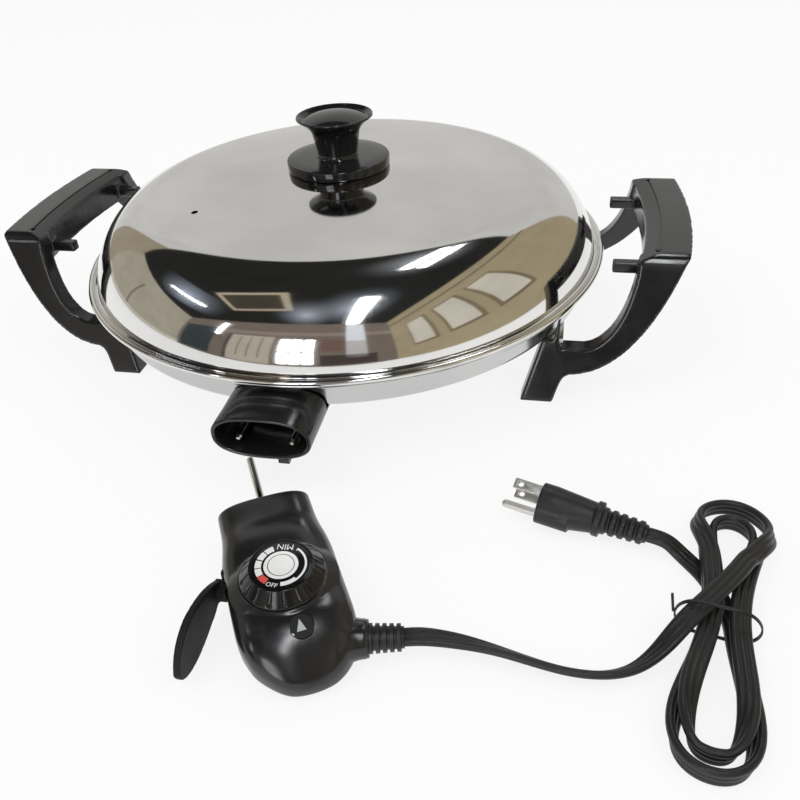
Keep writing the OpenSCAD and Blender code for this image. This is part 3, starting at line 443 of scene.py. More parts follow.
def lid_profile():
    """Outside from the top down, rim lines, rolled rim, and the inside back up."""
    side = LID_R - LID_BEAD - LID_FLANGE
    apex = LID_SEAT + LID_H
    step = LID_SEAT + 2 * LID_BEAD
    shoulder_x = side - SHOULDER_R
    crown_z = apex - CROWN_R
    shoulder_z = crown_z + math.sqrt((CROWN_R - SHOULDER_R) ** 2 - shoulder_x ** 2)
    meet = math.degrees(math.atan2(shoulder_z - crown_z, shoulder_x))
    low = math.degrees(math.asin((step - SHOULDER_DROP - shoulder_z) / SHOULDER_R))

    def line(inset):
        crown = arc((0, crown_z), CROWN_R - inset, 90, meet, 20)
        shoulder = arc((shoulder_x, shoulder_z), SHOULDER_R - inset, meet, low, 48)
        return [(0, apex - inset)] + crown[1:] + shoulder[1:]

    rim = bezier([(side + x, step + z) for x, z in VALLEY], 6)
    rim += arc((side + RIDGE_AT[0], step + RIDGE_AT[1]), RIDGE_R, 150, 20, 5)
    rim.append((side + RIDGE_END[0], step + RIDGE_END[1]))
    rim += arc((LID_R - LID_BEAD, LID_SEAT + LID_BEAD), LID_BEAD, 140, -90, 20)
    return line(0) + rim + [(side - LID_T - SEAT_EASE, LID_SEAT)] + line(LID_T)[::-1]


def make_lid():
    verts, faces = lathe(lid_profile(), 288, closed=False)
    lid = add("lid", verts, faces, polished, "lid", ["lid_shell"], 28)
    a = math.radians(VENT_A)
    place = Matrix.Translation((VENT_R * math.cos(a), VENT_R * math.sin(a), LID_SEAT))
    carve(lid, [round_cut("cut_vent", VENT_HOLE, 20, LID_H + 5, place, 32)])
    finish_mesh(lid, 28)


# Knob: a disc on the lid, a waisted grip and an inlaid cap
KNOB_Z = LID_SEAT + LID_H + 0.2
DISC_R, DISC_T, DISC_EDGE, STUD = 39.0, 7.4, 1.2, 2.7
KNOB_H, LIP_R, NECK_R, WAIST_R, FLARE_FROM = 30.0, 28.6, 15.0, 18.0, 0.58
CAP_WELL, CAP_INSET, CAP_RISE = 2.5, 5, 4.45


def make_knob():
    top = KNOB_Z + DISC_T
    edge_z = top - 1.6 * DISC_EDGE
    spots = [STUD + (DISC_R - DISC_EDGE - STUD) * i / 6 for i in range(7)]
    profile = [(r, KNOB_Z - CROWN_R + math.sqrt(CROWN_R ** 2 - r ** 2)) for r in spots]
    profile += [(DISC_R - 0.3, KNOB_Z + 0.3), (DISC_R, KNOB_Z + DISC_EDGE), (DISC_R, edge_z)]
    profile += arc((DISC_R - DISC_EDGE, edge_z), DISC_EDGE, 0, 80, 6)
    profile += [(NECK_R + 14, top - 0.3), (NECK_R + 5, top), (STUD, top)]
    verts, faces = lathe(profile, 128)
    add("knob_disc", verts, faces, knob_black, "lid", ["knob_guard"], 30)
    knob_top = top + KNOB_H
    flare = top + KNOB_H * FLARE_FROM
    well = knob_top - CAP_WELL
    profile = [(STUD, top), (NECK_R + 1.5, top), (NECK_R + 0.4, top + 1.2), (NECK_R, top + 3)]
    profile += bezier([(WAIST_R, flare), (WAIST_R + 1, flare + 4), (LIP_R - 5, knob_top - 5),
                       (LIP_R, knob_top - 1.4)])
    profile += arc((LIP_R - 0.8, knob_top - 0.9), 0.8, -30, 150, 8)
    profile += [(LIP_R - 4, well), (STUD, well)]
    verts, faces = lathe(profile, 128)
    add("knob", verts, faces, knob_black, "lid", ["knob_grip"], 32)
    cap_r = LIP_R - CAP_INSET
    dome = (cap_r ** 2 + CAP_RISE ** 2) / (2 * CAP_RISE)
    edge = math.degrees(math.asin(cap_r / dome))
    profile = [(0, well), (cap_r, well)] + arc((0, well + CAP_RISE - dome), dome, 90 - edge, 90, 14)
    profile[-1] = (0, well + CAP_RISE)
    verts, faces = lathe(profile, 96, closed=False)
    add("knob_inlay", verts, faces, knob_black, "lid", ["knob_cap"], 30)


# Handles: the CAD form with its edges rounded as moulded, a sloping inner strip and the seam beside it
GRIP_X, GRIP_W, GRIP_LEN, GRIP_TOP, GRIP_BOW = PAN_R + 31, 31.7, 146.6, 100.6, 6.0
GRIP_R = (GRIP_LEN ** 2 / 4 + GRIP_BOW ** 2) / (2 * GRIP_BOW)
GRIP_C = GRIP_X + GRIP_W + GRIP_BOW - GRIP_R
GRIP_IN_R = math.hypot(GRIP_X - GRIP_C, GRIP_LEN / 2)
FOOT_LEN, END_R = 214.6, 10.5
SEAM_R, SEAM_HALF, SEAM_DEPTH, PIT_R, PIT_DEPTH = GRIP_IN_R + 9.5, 0.6, 1.2, 1.6, 2
SEAM_A = math.degrees(math.asin((GRIP_LEN / 2 - 10) / SEAM_R))
STRIP_DROP, STRIP_A = 5.6, 14


def bow_cut(name, section, angle, side):
    """A section of (r, z) swept along the grip's bow, on the right or the left."""
    steps = 40
    verts = []
    for i in range(steps + 1):
        a = math.radians(angle * (2 * i / steps - 1))
        verts += [(side * (GRIP_C + r * math.cos(a)), r * math.sin(a), z) for r, z in section]
    return cutter(name, verts, tube_faces(steps + 1, len(section)), Matrix())


def rounded_end(p):
    """Where a point of the grip goes when both ends of its top are rounded."""
    slope = (FOOT_LEN - GRIP_LEN) / 2 / GRIP_TOP
    y0, z0 = GRIP_LEN / 2 + slope * END_R - END_R * math.hypot(1, slope), GRIP_TOP - END_R
    dy, dz = abs(p.y) - y0, p.z - z0
    far = math.hypot(dy, dz)
    if dy <= 0 or dz <= slope * dy or far <= END_R:
        return p
    return Vector((p.x, math.copysign(y0 + dy * END_R / far, p.y), z0 + dz * END_R / far))


def make_handle(node, side):
    low, top, bottom = GRIP_IN_R - 6, GRIP_TOP + 2, GRIP_TOP - SEAM_DEPTH
    strip = [(low, top), (SEAM_R, top), (SEAM_R, GRIP_TOP - 0.1), (low, GRIP_TOP - STRIP_DROP)]
    before = [bow_cut("cut_strip", strip, STRIP_A, side)]
    near, far = SEAM_R - SEAM_HALF, SEAM_R + SEAM_HALF
    groove = [(near, bottom), (far, bottom), (far, top), (near, top)]
    after = [bow_cut("cut_seam", groove, SEAM_A, side)]
    for end in (-SEAM_A, SEAM_A):
        a = math.radians(end)
        place = Matrix.Translation((side * (GRIP_C + SEAM_R * math.cos(a)), SEAM_R * math.sin(a), GRIP_TOP))
        after.append(round_cut("cut_pit", PIT_R, -PIT_DEPTH, 4, place, 24))
    moulded(node, "pan", phenolic, grain=0.8, rounds=18, before=before, shape=rounded_end, after=after)


# Socket guard: an oval shell with a rounded mouth, a back wall and a lug below
BOSS_Y, GUARD_Y, GUARD_Z, PIN_Z = -160.0, -227.0, 45.0, 39.0
GUARD_W, GUARD_H, GUARD_T, GUARD_BACK, GUARD_POWER = 64.0, 31.0, 2.8, 3.0, 0.8
LUG_X, LUG_Y, LUG_Z = (9, 16), (1, 13), (-3, 0.4)
PIN_X, SCREW_X, BUSH_R, SLEEVE_R, SCREW_R = 17.5, 8.75, 4.0, 4.45, 1.6


def make_guard():
    sides, lip = 144, GUARD_T / 2

    def ring(inset, y):
        out = []
        for i in range(sides):
            a = 2 * math.pi * i / sides
            out.append(((GUARD_W / 2 - inset) * squared(math.cos(a), GUARD_POWER), y,
                        GUARD_Z + (GUARD_H / 2 - inset) * squared(math.sin(a), GUARD_POWER)))
        return out

    middle = (BOSS_Y + GUARD_Y) / 2
    rows = [ring(0, BOSS_Y), ring(0, middle)]
    rows += [ring(lip - dx, GUARD_Y + lip - dy) for dx, dy in arc((0, 0), lip, 0, 180, 10)]
    rows += [ring(GUARD_T, middle), ring(GUARD_T, BOSS_Y - GUARD_BACK)]
    verts = [v for r in rows for v in r]
    obj = add("guard", verts, tube_faces(len(rows), sides), phenolic, "pan", ["socket_guard"], 30)
    bottom = GUARD_Z - GUARD_H / 2
    lug_ends = [(LUG_X[i], GUARD_Y + LUG_Y[i], bottom + LUG_Z[i]) for i in (0, 1)]
    cuts = [round_cut("cut_pan", PAN_R + 0.3, PAN_FLOOR - 0.05, RIM_TOP + 20, Matrix(), 256)]
    for x, r in ((-PIN_X, BUSH_R), (PIN_X, BUSH_R), (-SCREW_X, SCREW_R), (SCREW_X, SCREW_R), (0, SLEEVE_R)):
        bar = Matrix.Translation((x, 0, PIN_Z)) @ Matrix.Rotation(math.radians(90), 4, "X")
        cuts.append(round_cut("cut_bore", r, -BOSS_Y - 1, -BOSS_Y + GUARD_BACK + 1, bar, 32))
    carve(obj, cuts, [box_cut("lug", *lug_ends, Matrix())])
    finish_mesh(obj, 30)


# Heat control, built in its own frame: nose at the origin, tail along -Y
CONTROL_YAW, RELIEF_YAW = 29.2, -18.0
CONTROL = Matrix.Translation((11, -262, 0)) @ Matrix.Rotation(math.radians(CONTROL_YAW), 4, "Z")
NOSE_W, NOSE_H, NOSE_Z, BODY_W, DECK_Z, BODY_LEN = 54.0, 23.6, 21.0, 61.0, 34.2, 117.0
POCKET_SIDE, POCKET_LOW, POCKET_HIGH, POCKET_R, POCKET_DEEP = 4.5, 2.2, 2.8, 4, 22
DIAL_B, DIAL_TILT, DIAL_R, DIAL_TOP_R, DIAL_H = 65.0, 3.0, 22.4, 16.4, 8.0
COLLAR_H, COLLAR_FLARE, BODY_POWER = 5.0, 1.22, 0.66
RELIEF_X, RELIEF_B, RELIEF_Z, RELIEF_LEN = BODY_W / 2 + 3, 101.5, 12.0, 18.0
BOOT_IN, BOOT_R, BOOT_WIDER, BOOT_TALLER = 14.0, 9.9, 6.5, 1.8
LAMP_X, LAMP_B, LAMP_DROP, LAMP_TILT, LAMP_R, LAMP_TOP = 2.5, 96.0, 5, 25.0, 6.0, 0.6
LEVER_SLOT = (-50, -61, 8.6), (-22, -38, 25.4)
LOW, HIGH, HALF = NOSE_Z - NOSE_H / 2, NOSE_Z + NOSE_H / 2, BODY_W / 2

# The housing's stations: distance from the nose, half width, bottom, top and shift to the right
STATIONS = [
    (0, NOSE_W / 2 - 1, LOW + 0.8, HIGH - 0.8, 0), (1.2, NOSE_W / 2 - 0.2, LOW + 0.2, HIGH - 0.2, 0),
    (3, NOSE_W / 2, LOW, HIGH, 0), (18, NOSE_W / 2 + 0.2, LOW - 1, HIGH + 0.4, 0),
    (27, HALF - 2.2, 2.5, DECK_Z + 0.4, 0), (36, HALF - 0.8, 0, DECK_Z + 1, 0),
    (48, HALF, 0, DECK_Z + 0.6, 0), (66, HALF, 0, DECK_Z - 0.2, 0),
    (82, HALF, 0, DECK_Z - 1.4, 0.2), (90, HALF - 0.5, 0, DECK_Z - 2.6, 0.5),
    (97, HALF - 2, 0, DECK_Z - 5.4, 1), (103, HALF - 4.3, 0, DECK_Z - 9, 1.7),
    (110, HALF - 10.5, 0.4, DECK_Z - 14.8, 2), (BODY_LEN - 2.4, HALF - 17.3, 1.4, DECK_Z - 20, 1.8),
    (BODY_LEN, HALF - 25, 4, DECK_Z - 24.4, 1.7)]


def tilted(place, degrees):
    """A frame on the control, tilted towards its tail or nose."""
    return CONTROL @ Matrix.Translation(place) @ Matrix.Rotation(math.radians(degrees), 4, "X")


DIAL = tilted((0, -DIAL_B, DECK_Z), DIAL_TILT)
LAMP = tilted((LAMP_X, -LAMP_B, DECK_Z - LAMP_DROP), LAMP_TILT)


def relief_boot():
    """The flare by which the body runs out to the strain relief."""
    sides, rows = 64, 12
    verts = []
    for i in range(rows + 1):
        t = i / rows
        x = BOOT_IN * (t - 1) - 0.3
        wide, tall = BOOT_R + BOOT_WIDER * (1 - t) ** 2.2, BOOT_R + BOOT_TALLER * (1 - t) ** 2
        shrink = 0.5 if i == rows else 0
        for j in range(sides):
            a = 2 * math.pi * j / sides
            verts.append((x, (wide - shrink) * math.cos(a), (tall - shrink) * math.sin(a)))
    turn = Matrix.Rotation(math.radians(RELIEF_YAW), 4, "Z")
    place = Matrix.Translation((RELIEF_X, -RELIEF_B, RELIEF_Z)) @ turn
    return cutter("boot", verts, tube_faces(rows + 1, sides), CONTROL @ place)


def nose_pocket():
    """The nose's rounded pocket."""
    x, r = NOSE_W / 2 - POCKET_SIDE - POCKET_R, POCKET_R
    low, high = LOW + POCKET_LOW + r, HIGH - POCKET_HIGH - r
    line = []
    for i, centre in enumerate(((x, high), (-x, high), (-x, low), (x, low))):
        line += arc(centre, r, 90 * i, 90 * i + 90, 8)
    verts = [(x, y, z) for y in (8, -POCKET_DEEP) for x, z in line]
    return cutter("cut_nose", verts, tube_faces(2, len(line)), CONTROL)


def make_control():
    sides = 96

    def ring(along, half, bottom, top, shift):
        out = []
        for j in range(sides):
            a = 2 * math.pi * (j + 0.5) / sides
            x = shift + half * squared(math.cos(a), BODY_POWER)
            z = (bottom + top) / 2 + (top - bottom) / 2 * squared(math.sin(a), BODY_POWER)
            out.append((x, -along, z))
        return out

    rows = [ring(*s) for s in held_curve(STATIONS, 7)]
    verts = moved(CONTROL, [v for r in rows for v in r])
    faces = [f[::-1] for f in tube_faces(len(rows), sides)]
    obj = add("control_body", verts, faces, housing, "control", ["control_top", "control_base"], 32)
    foot = DIAL_R + 0.4 + COLLAR_FLARE * COLLAR_H
    flare = [(0, -COLLAR_H - 4), (DIAL_R, -COLLAR_H - 4), (foot - 0.5, -COLLAR_H), (foot, -COLLAR_H + 0.25)]
    flare += [(DIAL_R + 1.2, -0.5), (DIAL_R + 0.6, -0.08), (DIAL_R + 0.2, 0), (0, 0)]
    collar = cutter("collar", *lathe(flare, 128, closed=False), DIAL)
    carve(obj, [
        nose_pocket(),
        round_cut("cut_deck", DIAL_R + 1, 0, 30, DIAL),
        round_cut("cut_lamp", LAMP_R + 0.4, -3.4, 20, LAMP, 64),
        box_cut("cut_lever", *LEVER_SLOT, CONTROL),
    ], [collar, relief_boot()])
    finish_mesh(obj, 32)


# Dial: a fluted knob with a sunk plate, which carries the print
FLUTES, FLUTE_DEPTH, FLUTE_ROWS, DIAL_BORE = 18, 0.9, 10, 3
PLATE_SUNK, PLATE_T, PLATE_EDGE, PLATE_GAP, BREAK = 0.7, 0.8, 0.7, 1, 0.3
PLATE_Z = DIAL_H - PLATE_SUNK
PRINT_Z, PRINT_LIFT, WORD_LIFT = PLATE_Z + PLATE_T, 0.06, 0.04
MARKS, MARK_HALF = (108, 133, 159, 184), 11.2


def make_dial():
    profile = [(DIAL_BORE, BREAK), (DIAL_R - BREAK, BREAK), (DIAL_R, 0.6), (DIAL_R, 1.1)]
    fluted = range(len(profile) + 1, len(profile) + FLUTE_ROWS)
    low, high = (DIAL_R - BREAK, 1.6), (DIAL_TOP_R + 0.5, DIAL_H - 0.1)
    for t in range(FLUTE_ROWS + 1):
        profile.append(tuple(a + (b - a) * t / FLUTE_ROWS for a, b in zip(low, high)))
    profile += [(DIAL_TOP_R + BREAK, DIAL_H + 0.15), (DIAL_TOP_R, DIAL_H + BREAK)]
    profile += [(DIAL_TOP_R - 0.6, DIAL_H + BREAK), (DIAL_TOP_R - 0.8, DIAL_H + 0.1)]
    profile += [(DIAL_TOP_R - 0.8, PLATE_Z), (DIAL_BORE, PLATE_Z)]

    def flute(k, a):
        if k not in fluted:
            return 0
        return FLUTE_DEPTH * smooth((math.cos(FLUTES * a) - 0.25) / 0.6)

    verts, faces = lathe(profile, FLUTES * 14, flute)
    add("dial", moved(DIAL, verts), faces, dial_black, "dial", ["dial_knob"], 40)
    plate_r = DIAL_TOP_R - PLATE_GAP
    profile = [(0, PLATE_Z), (plate_r, PLATE_Z), (plate_r, PLATE_Z + PLATE_EDGE)]
    profile += [(plate_r - BREAK, PRINT_Z), (0, PRINT_Z)]
    verts, faces = lathe(profile, 96, closed=False)
    add("dial_face", moved(DIAL, verts), faces, dial_black, "dial", ["dial_plate"], 30)


def flat_ring(name, r0, r1, a0, a1, mat):
    """A thin printed ring or a part of one, between two radii and two angles."""
    n = max(6, int(abs(a1 - a0) / 4))
    pts = []
    for level in (PRINT_Z, PRINT_Z + PRINT_LIFT):
        for r in (r0, r1):
            for i in range(n + 1):
                a = math.radians(a0 + (a1 - a0) * i / n)
                pts.append((r * math.cos(a), r * math.sin(a), level))
    m = n + 1
    quads = []
    for i in range(n):
        quads.append((2 * m + i, 3 * m + i, 3 * m + i + 1, 2 * m + i + 1))
        quads.append((m + i, m + i + 1, 3 * m + i + 1, 3 * m + i))
        quads.append((i, 2 * m + i, 2 * m + i + 1, i + 1))
    quads.append((0, m, 3 * m, 2 * m))
    quads.append((n, 2 * m + n, 3 * m + n, m + n))
    add(name, moved(DIAL, pts), quads, mat, "dial")


def print_rings():
    flat_ring("dial_disc", 0.01, 6.6, 0, 360, white_print)
    flat_ring("dial_circle", 7.0, 8.9, 0, 360, white_print)
    for i, a in enumerate(MARKS):
        flat_ring("dial_mark_%d" % i, 10.1, 13.4, a - MARK_HALF, a + MARK_HALF, white_print)
    flat_ring("dial_off", 10.1, 13.6, 197.5, 221, red_print)
    flat_ring("dial_scale_thick", 10.9, 13.3, -103, -64, white_print)
    flat_ring("dial_scale_thin", 12.2, 13.3, -64, 33, white_print)
    flat_ring("dial_scale_hook", 11.6, 13.3, 33, 36, white_print)


def lamp_window_mark(name, outline, height, mat):
    """A flat mark laid on the lamp window."""
    n = len(outline)
    pts = [(x, y, h) for h in (LAMP_TOP, LAMP_TOP + height) for x, y in outline]
    faces = [tuple(range(n, 2 * n))[::-1]]
    faces += [(i, n + i, n + (i + 1) % n, (i + 1) % n) for i in range(n)]
    obj = add(name, moved(LAMP, pts), faces, mat, "control")


def word(name, text, size, radius, angle):
    """A printed word that stands on the dial's radius at this angle."""
    curve = bpy.data.curves.new(name, "FONT")
    curve.body = text
    curve.size = size * MM
    curve.align_x = "CENTER"
    curve.align_y = "CENTER"
    curve.extrude = 0.03 * MM
    tmp = bpy.data.objects.new(name, curve)
    deps = bpy.context.evaluated_depsgraph_get()
    scene.collection.objects.link(tmp)
    deps.update()
    mesh = bpy.data.meshes.new_from_object(tmp.evaluated_get(deps))
    bpy.data.objects.remove(tmp)
    a = math.radians(angle)
    place = DIAL @ Matrix.Translation((radius * math.cos(a), radius * math.sin(a), PRINT_Z + WORD_LIFT))
    upright = Matrix.Rotation(a + math.radians(90), 4, "Z")
    mesh.transform(Matrix.Scale(MM, 4) @ place @ upright @ Matrix.Scale(1 / MM, 4))
    mesh.materials.clear()
    mesh.materials.append(white_print)
    obj = linked(name, mesh)
    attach(obj, "dial")


# Flat three-core cord: lead, tied hank and tail in one length; a route's last number is the tilt in degrees
CORD_W, CORD_T, CORE_SHARE = 10.5, 4.2, 0.98
lead_route = [(135, -326.5, 8.6, 18), (153, -327.5, 6.6, 42), (172, -331, 5.5, 53), (190, -334, 5.4, 55),
              (207, -333, 5.4, 55), (220.5, -327.5, 5.8, 48), (231, -319, 9.5, 30), (239.5, -310, 15.4, 12),
              (247.5, -300.5, 18.6, 3), (256, -290.5, 19, 0), (264.5, -280, 19, 0), (272.5, -269.5, 18.4, 0),
              (279.5, -258.5, 17.4, 0)]
tail_route = [(270, -306.5, 5, 0), (270.5, -293, 3.4, 0), (268.5, -280.5, 2.4, 0), (264.5, -269, 2.3, 0),
              (259.5, -259, 2.3, 0), (254, -251.5, 2.4, 0), (247.5, -246, 4.8, 0)]
PLUG_AT, PLUG_LEN, PLUG_YAW, PLUG_PITCH = Vector((169.6, -223.2, 12.6)), 63, -14.9, 3
LEG_STEPS, HANK_STEPS, EVEN_ROUNDS = 5, 216, 5

# The hank is a figure of loops; pairs of values are for its even and odd half turns
HANK_AT = Vector((266, -290, 0))
HANK_AXIS, HANK_SIDE = Vector((0.186, 0.983, 0)), Vector((0.983, -0.186, 0))
HANK_FROM, HANK_TO, HANK_WAIST, HANK_CLIMB, HANK_STEP = -50, 600, 6.5, 75, 0.5
HANK_LONG, HANK_BULGE, HANK_SPREAD = (72, 87.9), (21, 36.4), (8.2, 4.5)
HANK_LAYER, HANK_LOW, HANK_BULB = CORD_T + 0.7, 8.2, CORD_W / 2 + 0.3
HANK_FLAT, HANK_UPRIGHT, HANK_POWER = (0.2, 0), (0.95, 1), (4, 3)


def hank_half(t):
    return int(min(max(math.floor((t + 90) / 180), 0), 3))


def hank_base(t, k):
    i = k % 2
    c, s = math.cos(math.radians(t)), math.sin(math.radians(t))
    p = HANK_AT + HANK_LONG[i] * c * HANK_AXIS - s * (HANK_WAIST + HANK_BULGE[i] * c * c) * HANK_SIDE
    return p + UP * (HANK_BULB + (HANK_LOW - HANK_BULB) * s * s)


def hank_normal(t, k):
    along = hank_base(t + HANK_STEP, k) - hank_base(t - HANK_STEP, k)
    out = along.cross(UP).normalized()
    i = k % 2
    share = (math.cos(math.radians(t)) ** 2 - HANK_FLAT[i]) / (HANK_UPRIGHT[i] - HANK_FLAT[i])
    roll = smooth(share) * math.pi / 2
    return math.cos(roll) * UP + math.sin(roll) * (1 - 2 * i) * out


def hank_place(t, k):
    upper = 1 if k < 2 else 0
    climb = 1 - smooth((t - 180 * k + 90) / HANK_CLIMB) if k % 2 == 0 else 0
    wide = HANK_SPREAD[k % 2] * abs(math.cos(math.radians(t))) ** HANK_POWER[k % 2]
    rise = HANK_LAYER * (upper + climb) + upper * wide
    return hank_base(t, k) + hank_normal(t, k) * rise


def hank_tangent(t):
    k = hank_half(t)
    return (hank_place(t + HANK_STEP, k) - hank_place(t - HANK_STEP, k)).normalized()


def cord_leg(start, start_dir, start_normal, route, stop, stop_dir, stop_normal):
    """Rows of centre and normal along a route, which leaves and arrives straight."""
    points = [start, start + CORD_W * start_dir] + [Vector(p[:3]) for p in route]
    normals = [start_normal, start_normal]
    normals += [Vector((0, math.sin(math.radians(p[3])), math.cos(math.radians(p[3])))) for p in route]
    points += [stop - CORD_W * stop_dir, stop]
    normals += [stop_normal, stop_normal]
    return free_curve([(*p, *n) for p, n in zip(points, normals)], LEG_STEPS)


def cord_line():
    """Centres and normals of the whole cord, from the strain relief to the plug."""
    relief_dir = turned((1, 0, 0), CONTROL_YAW + RELIEF_YAW)
    start = CONTROL @ Vector((RELIEF_X, -RELIEF_B, RELIEF_Z)) + RELIEF_LEN * relief_dir
    pitch = math.radians(PLUG_PITCH)
    plug_dir = turned((math.cos(pitch), 0, -math.sin(pitch)), PLUG_YAW)
    stop = PLUG_AT + PLUG_LEN * plug_dir
    first, last = hank_place(HANK_FROM, 0), hank_place(HANK_TO, 3)
    rows = cord_leg(start, relief_dir, UP, lead_route,
                    first, hank_tangent(HANK_FROM), hank_normal(HANK_FROM, 0))
    for i in range(HANK_STEPS):
        t = HANK_FROM + (HANK_TO - HANK_FROM) * i / HANK_STEPS
        k = hank_half(t)
        rows.append([*hank_place(t, k), *hank_normal(t, k)])
    rows += cord_leg(last, hank_tangent(HANK_TO), hank_normal(HANK_TO, 3), tail_route, stop, -plug_dir, UP)
    rows.append([*stop, *UP])
    for _ in range(EVEN_ROUNDS):
        rows = rows[:2] + [[(a + 2 * b + c) / 4 for a, b, c in zip(rows[i - 1], rows[i], rows[i + 1])]
                           for i in range(2, len(rows) - 2)] + rows[-2:]
    return [Vector(r[:3]) for r in rows], [Vector(r[3:]).normalized() for r in rows]


def cord_section():
    """Outline of three cores side by side."""
    lobe = CORD_T / 2
    core = lobe * CORE_SHARE
    reach = CORD_W / 2 - lobe
    pts = arc((reach, 0), lobe, 0, 132, 7) + arc((0, 0), core, 52, 128, 5)
    pts += arc((-reach, 0), lobe, 48, 312, 13) + arc((0, 0), core, 232, 308, 5)
    return pts + arc((reach, 0), lobe, 228, 352, 7)


def make_cord():
    centres, normals = cord_line()
    section = cord_section()
    verts = []
    for i, (p, n) in enumerate(zip(centres, normals)):
        along = (centres[min(i + 1, len(centres) - 1)] - centres[max(i - 1, 0)]).normalized()
        wide = n.cross(along).normalized()
        thick = along.cross(wide)
        verts += [tuple(p + s[0] * wide + s[1] * thick) for s in section]
    faces = tube_faces(len(centres), len(section))
    obj = add("cord", verts, faces, rubber, "control", ["cord_lead", "cord_hank", "cord_tail"], 50)


# Stage, in metres: pale floor, soft lamps, and a room that only reflections see
FLOOR_HALF, FLOOR_SHARE, WORLD_LIGHT = 6, 0.84, 0.68
ROOM_LEFT, ROOM_RIGHT, ROOM_FRONT, ROOM_BACK, ROOM_TOP = -4.5, 1.55, -2.5, 2.2, 2.6


def seen_mix(nt, lit, seen, share, out):
    """Rays from the camera, gloss and glass see the second shader by this share; the rest see the first."""
    path = nt.nodes.new("ShaderNodeLightPath")
    most = path.outputs["Is Camera Ray"]
    for name in ("Is Glossy Ray", "Is Transmission Ray"):
        m = nt.nodes.new("ShaderNodeMath")
        m.operation = "MAXIMUM"
        nt.links.new(most, m.inputs[0])
        nt.links.new(path.outputs[name], m.inputs[1])
        most = m.outputs["Value"]
    part = nt.nodes.new("ShaderNodeMath")
    part.operation = "MULTIPLY"
    part.inputs[1].default_value = share
    nt.links.new(most, part.inputs[0])
    mix = nt.nodes.new("ShaderNodeMixShader")
    nt.links.new(part.outputs["Value"], mix.inputs["Fac"])
    nt.links.new(lit, mix.inputs[1])
    nt.links.new(seen, mix.inputs[2])
    nt.links.new(mix.outputs["Shader"], out)


def stage_piece(name, corners, mat):
    mesh = bpy.data.meshes.new(name)
    mesh.from_pydata(corners, [], [(0, 1, 2, 3)])
    mesh.materials.append(mat)
    obj = linked(name, mesh)
    return obj


def make_floor():
    look = Look("floor_paper").set(Roughness=0.9, Specular_IOR_Level=0.1)
    look.tint(look.noise(scale=40, detail=3), (0.94, 0.94, 0.94), (0.96, 0.96, 0.96))
    nt = look.nt
    white = nt.nodes.new("ShaderNodeEmission")
    white.inputs["Color"].default_value = (1, 1, 1, 1)
    white.inputs["Strength"].default_value = 1.0
    seen_mix(nt, look.bsdf.outputs["BSDF"], white.outputs["Emission"], FLOOR_SHARE,
             nt.nodes["Material Output"].inputs["Surface"])
    h = FLOOR_HALF
    stage_piece("floor", [(-h, -h, 0), (h, -h, 0), (h, h, 0), (-h, h, 0)], look.mat)


def make_world():
    world = bpy.data.worlds.new("world")
    scene.world = world
    world.use_nodes = True
    nt = world.node_tree
    lit = nt.nodes["Background"]
    seen = nt.nodes.new("ShaderNodeBackground")
    for back, strength in ((lit, WORLD_LIGHT), (seen, 1.0)):
        back.inputs["Color"].default_value = (1, 1, 1, 1)
        back.inputs["Strength"].default_value = strength
    seen_mix(nt, lit.outputs["Background"], seen.outputs["Background"], 1.0,
             nt.nodes["World Output"].inputs["Surface"])


def lamp(name, place, size, power):
    light = bpy.data.lights.new(name, "AREA")
    light.shape = "RECTANGLE"
    light.size, light.size_y = size
    light.energy = power
    obj = bpy.data.objects.new(name, light)
    obj.location = place
    obj.rotation_euler = (-Vector(place)).to_track_quat("-Z", "Y").to_euler()
    scene.collection.objects.link(obj)
    obj.visible_glossy = False


def panel(name, corners, colour, strength=1.0, soft=False):
    """A glowing panel with faint mottling; a soft one fades out from its middle."""
    look = Look(name)
    nt = look.nt
    glow = nt.nodes.new("ShaderNodeEmission")
    glow.inputs["Strength"].default_value = strength
    mottle = nt.nodes.new("ShaderNodeMix")
    mottle.data_type = "RGBA"
    mottle.inputs["A"].default_value = (*(c * 0.8 for c in colour), 1)
    mottle.inputs["B"].default_value = (*(c * 1.15 for c in colour), 1)
    nt.links.new(look.noise(scale=1.7, detail=3), mottle.inputs["Factor"])
    nt.links.new(mottle.outputs["Result"], glow.inputs["Color"])
    shader = glow.outputs["Emission"]
    if soft:
        middle = nt.nodes.new("ShaderNodeMapping")
        middle.inputs["Location"].default_value = (-1, -1, 0)
        middle.inputs["Scale"].default_value = (2, 2, 0)
        fade = nt.nodes.new("ShaderNodeTexGradient")
        fade.gradient_type = "QUADRATIC_SPHERE"
        mix = nt.nodes.new("ShaderNodeMixShader")
        nt.links.new(look.coord.outputs["Generated"], middle.inputs["Vector"])
        nt.links.new(middle.outputs["Vector"], fade.inputs["Vector"])
        nt.links.new(fade.outputs["Fac"], mix.inputs["Fac"])
        nt.links.new(nt.nodes.new("ShaderNodeBsdfTransparent").outputs["BSDF"], mix.inputs[1])
        nt.links.new(shader, mix.inputs[2])
        shader = mix.outputs["Shader"]
    nt.links.new(shader, nt.nodes["Material Output"].inputs["Surface"])
    obj = stage_piece(name, corners, look.mat)
    obj.visible_camera = False
    obj.visible_diffuse = False
    obj.visible_shadow = False
    obj.visible_transmission = False
    obj.visible_volume_scatter = False


def across(name, x0, x1, z0, z1, colour, strength=1.0, y=ROOM_FRONT, gap=0.0):
    """A panel on the room's front or back wall."""
    y += gap
    panel(name, [(x0, y, z0), (x1, y, z0), (x1, y, z1), (x0, y, z1)], colour, strength)


def beside(name, y0, y1, z0, z1, colour, x, gap=0.0):
    """A panel on the room's left or right wall."""
    x += gap
    panel(name, [(x, y0, z0), (x, y1, z0), (x, y1, z1), (x, y0, z1)], colour)


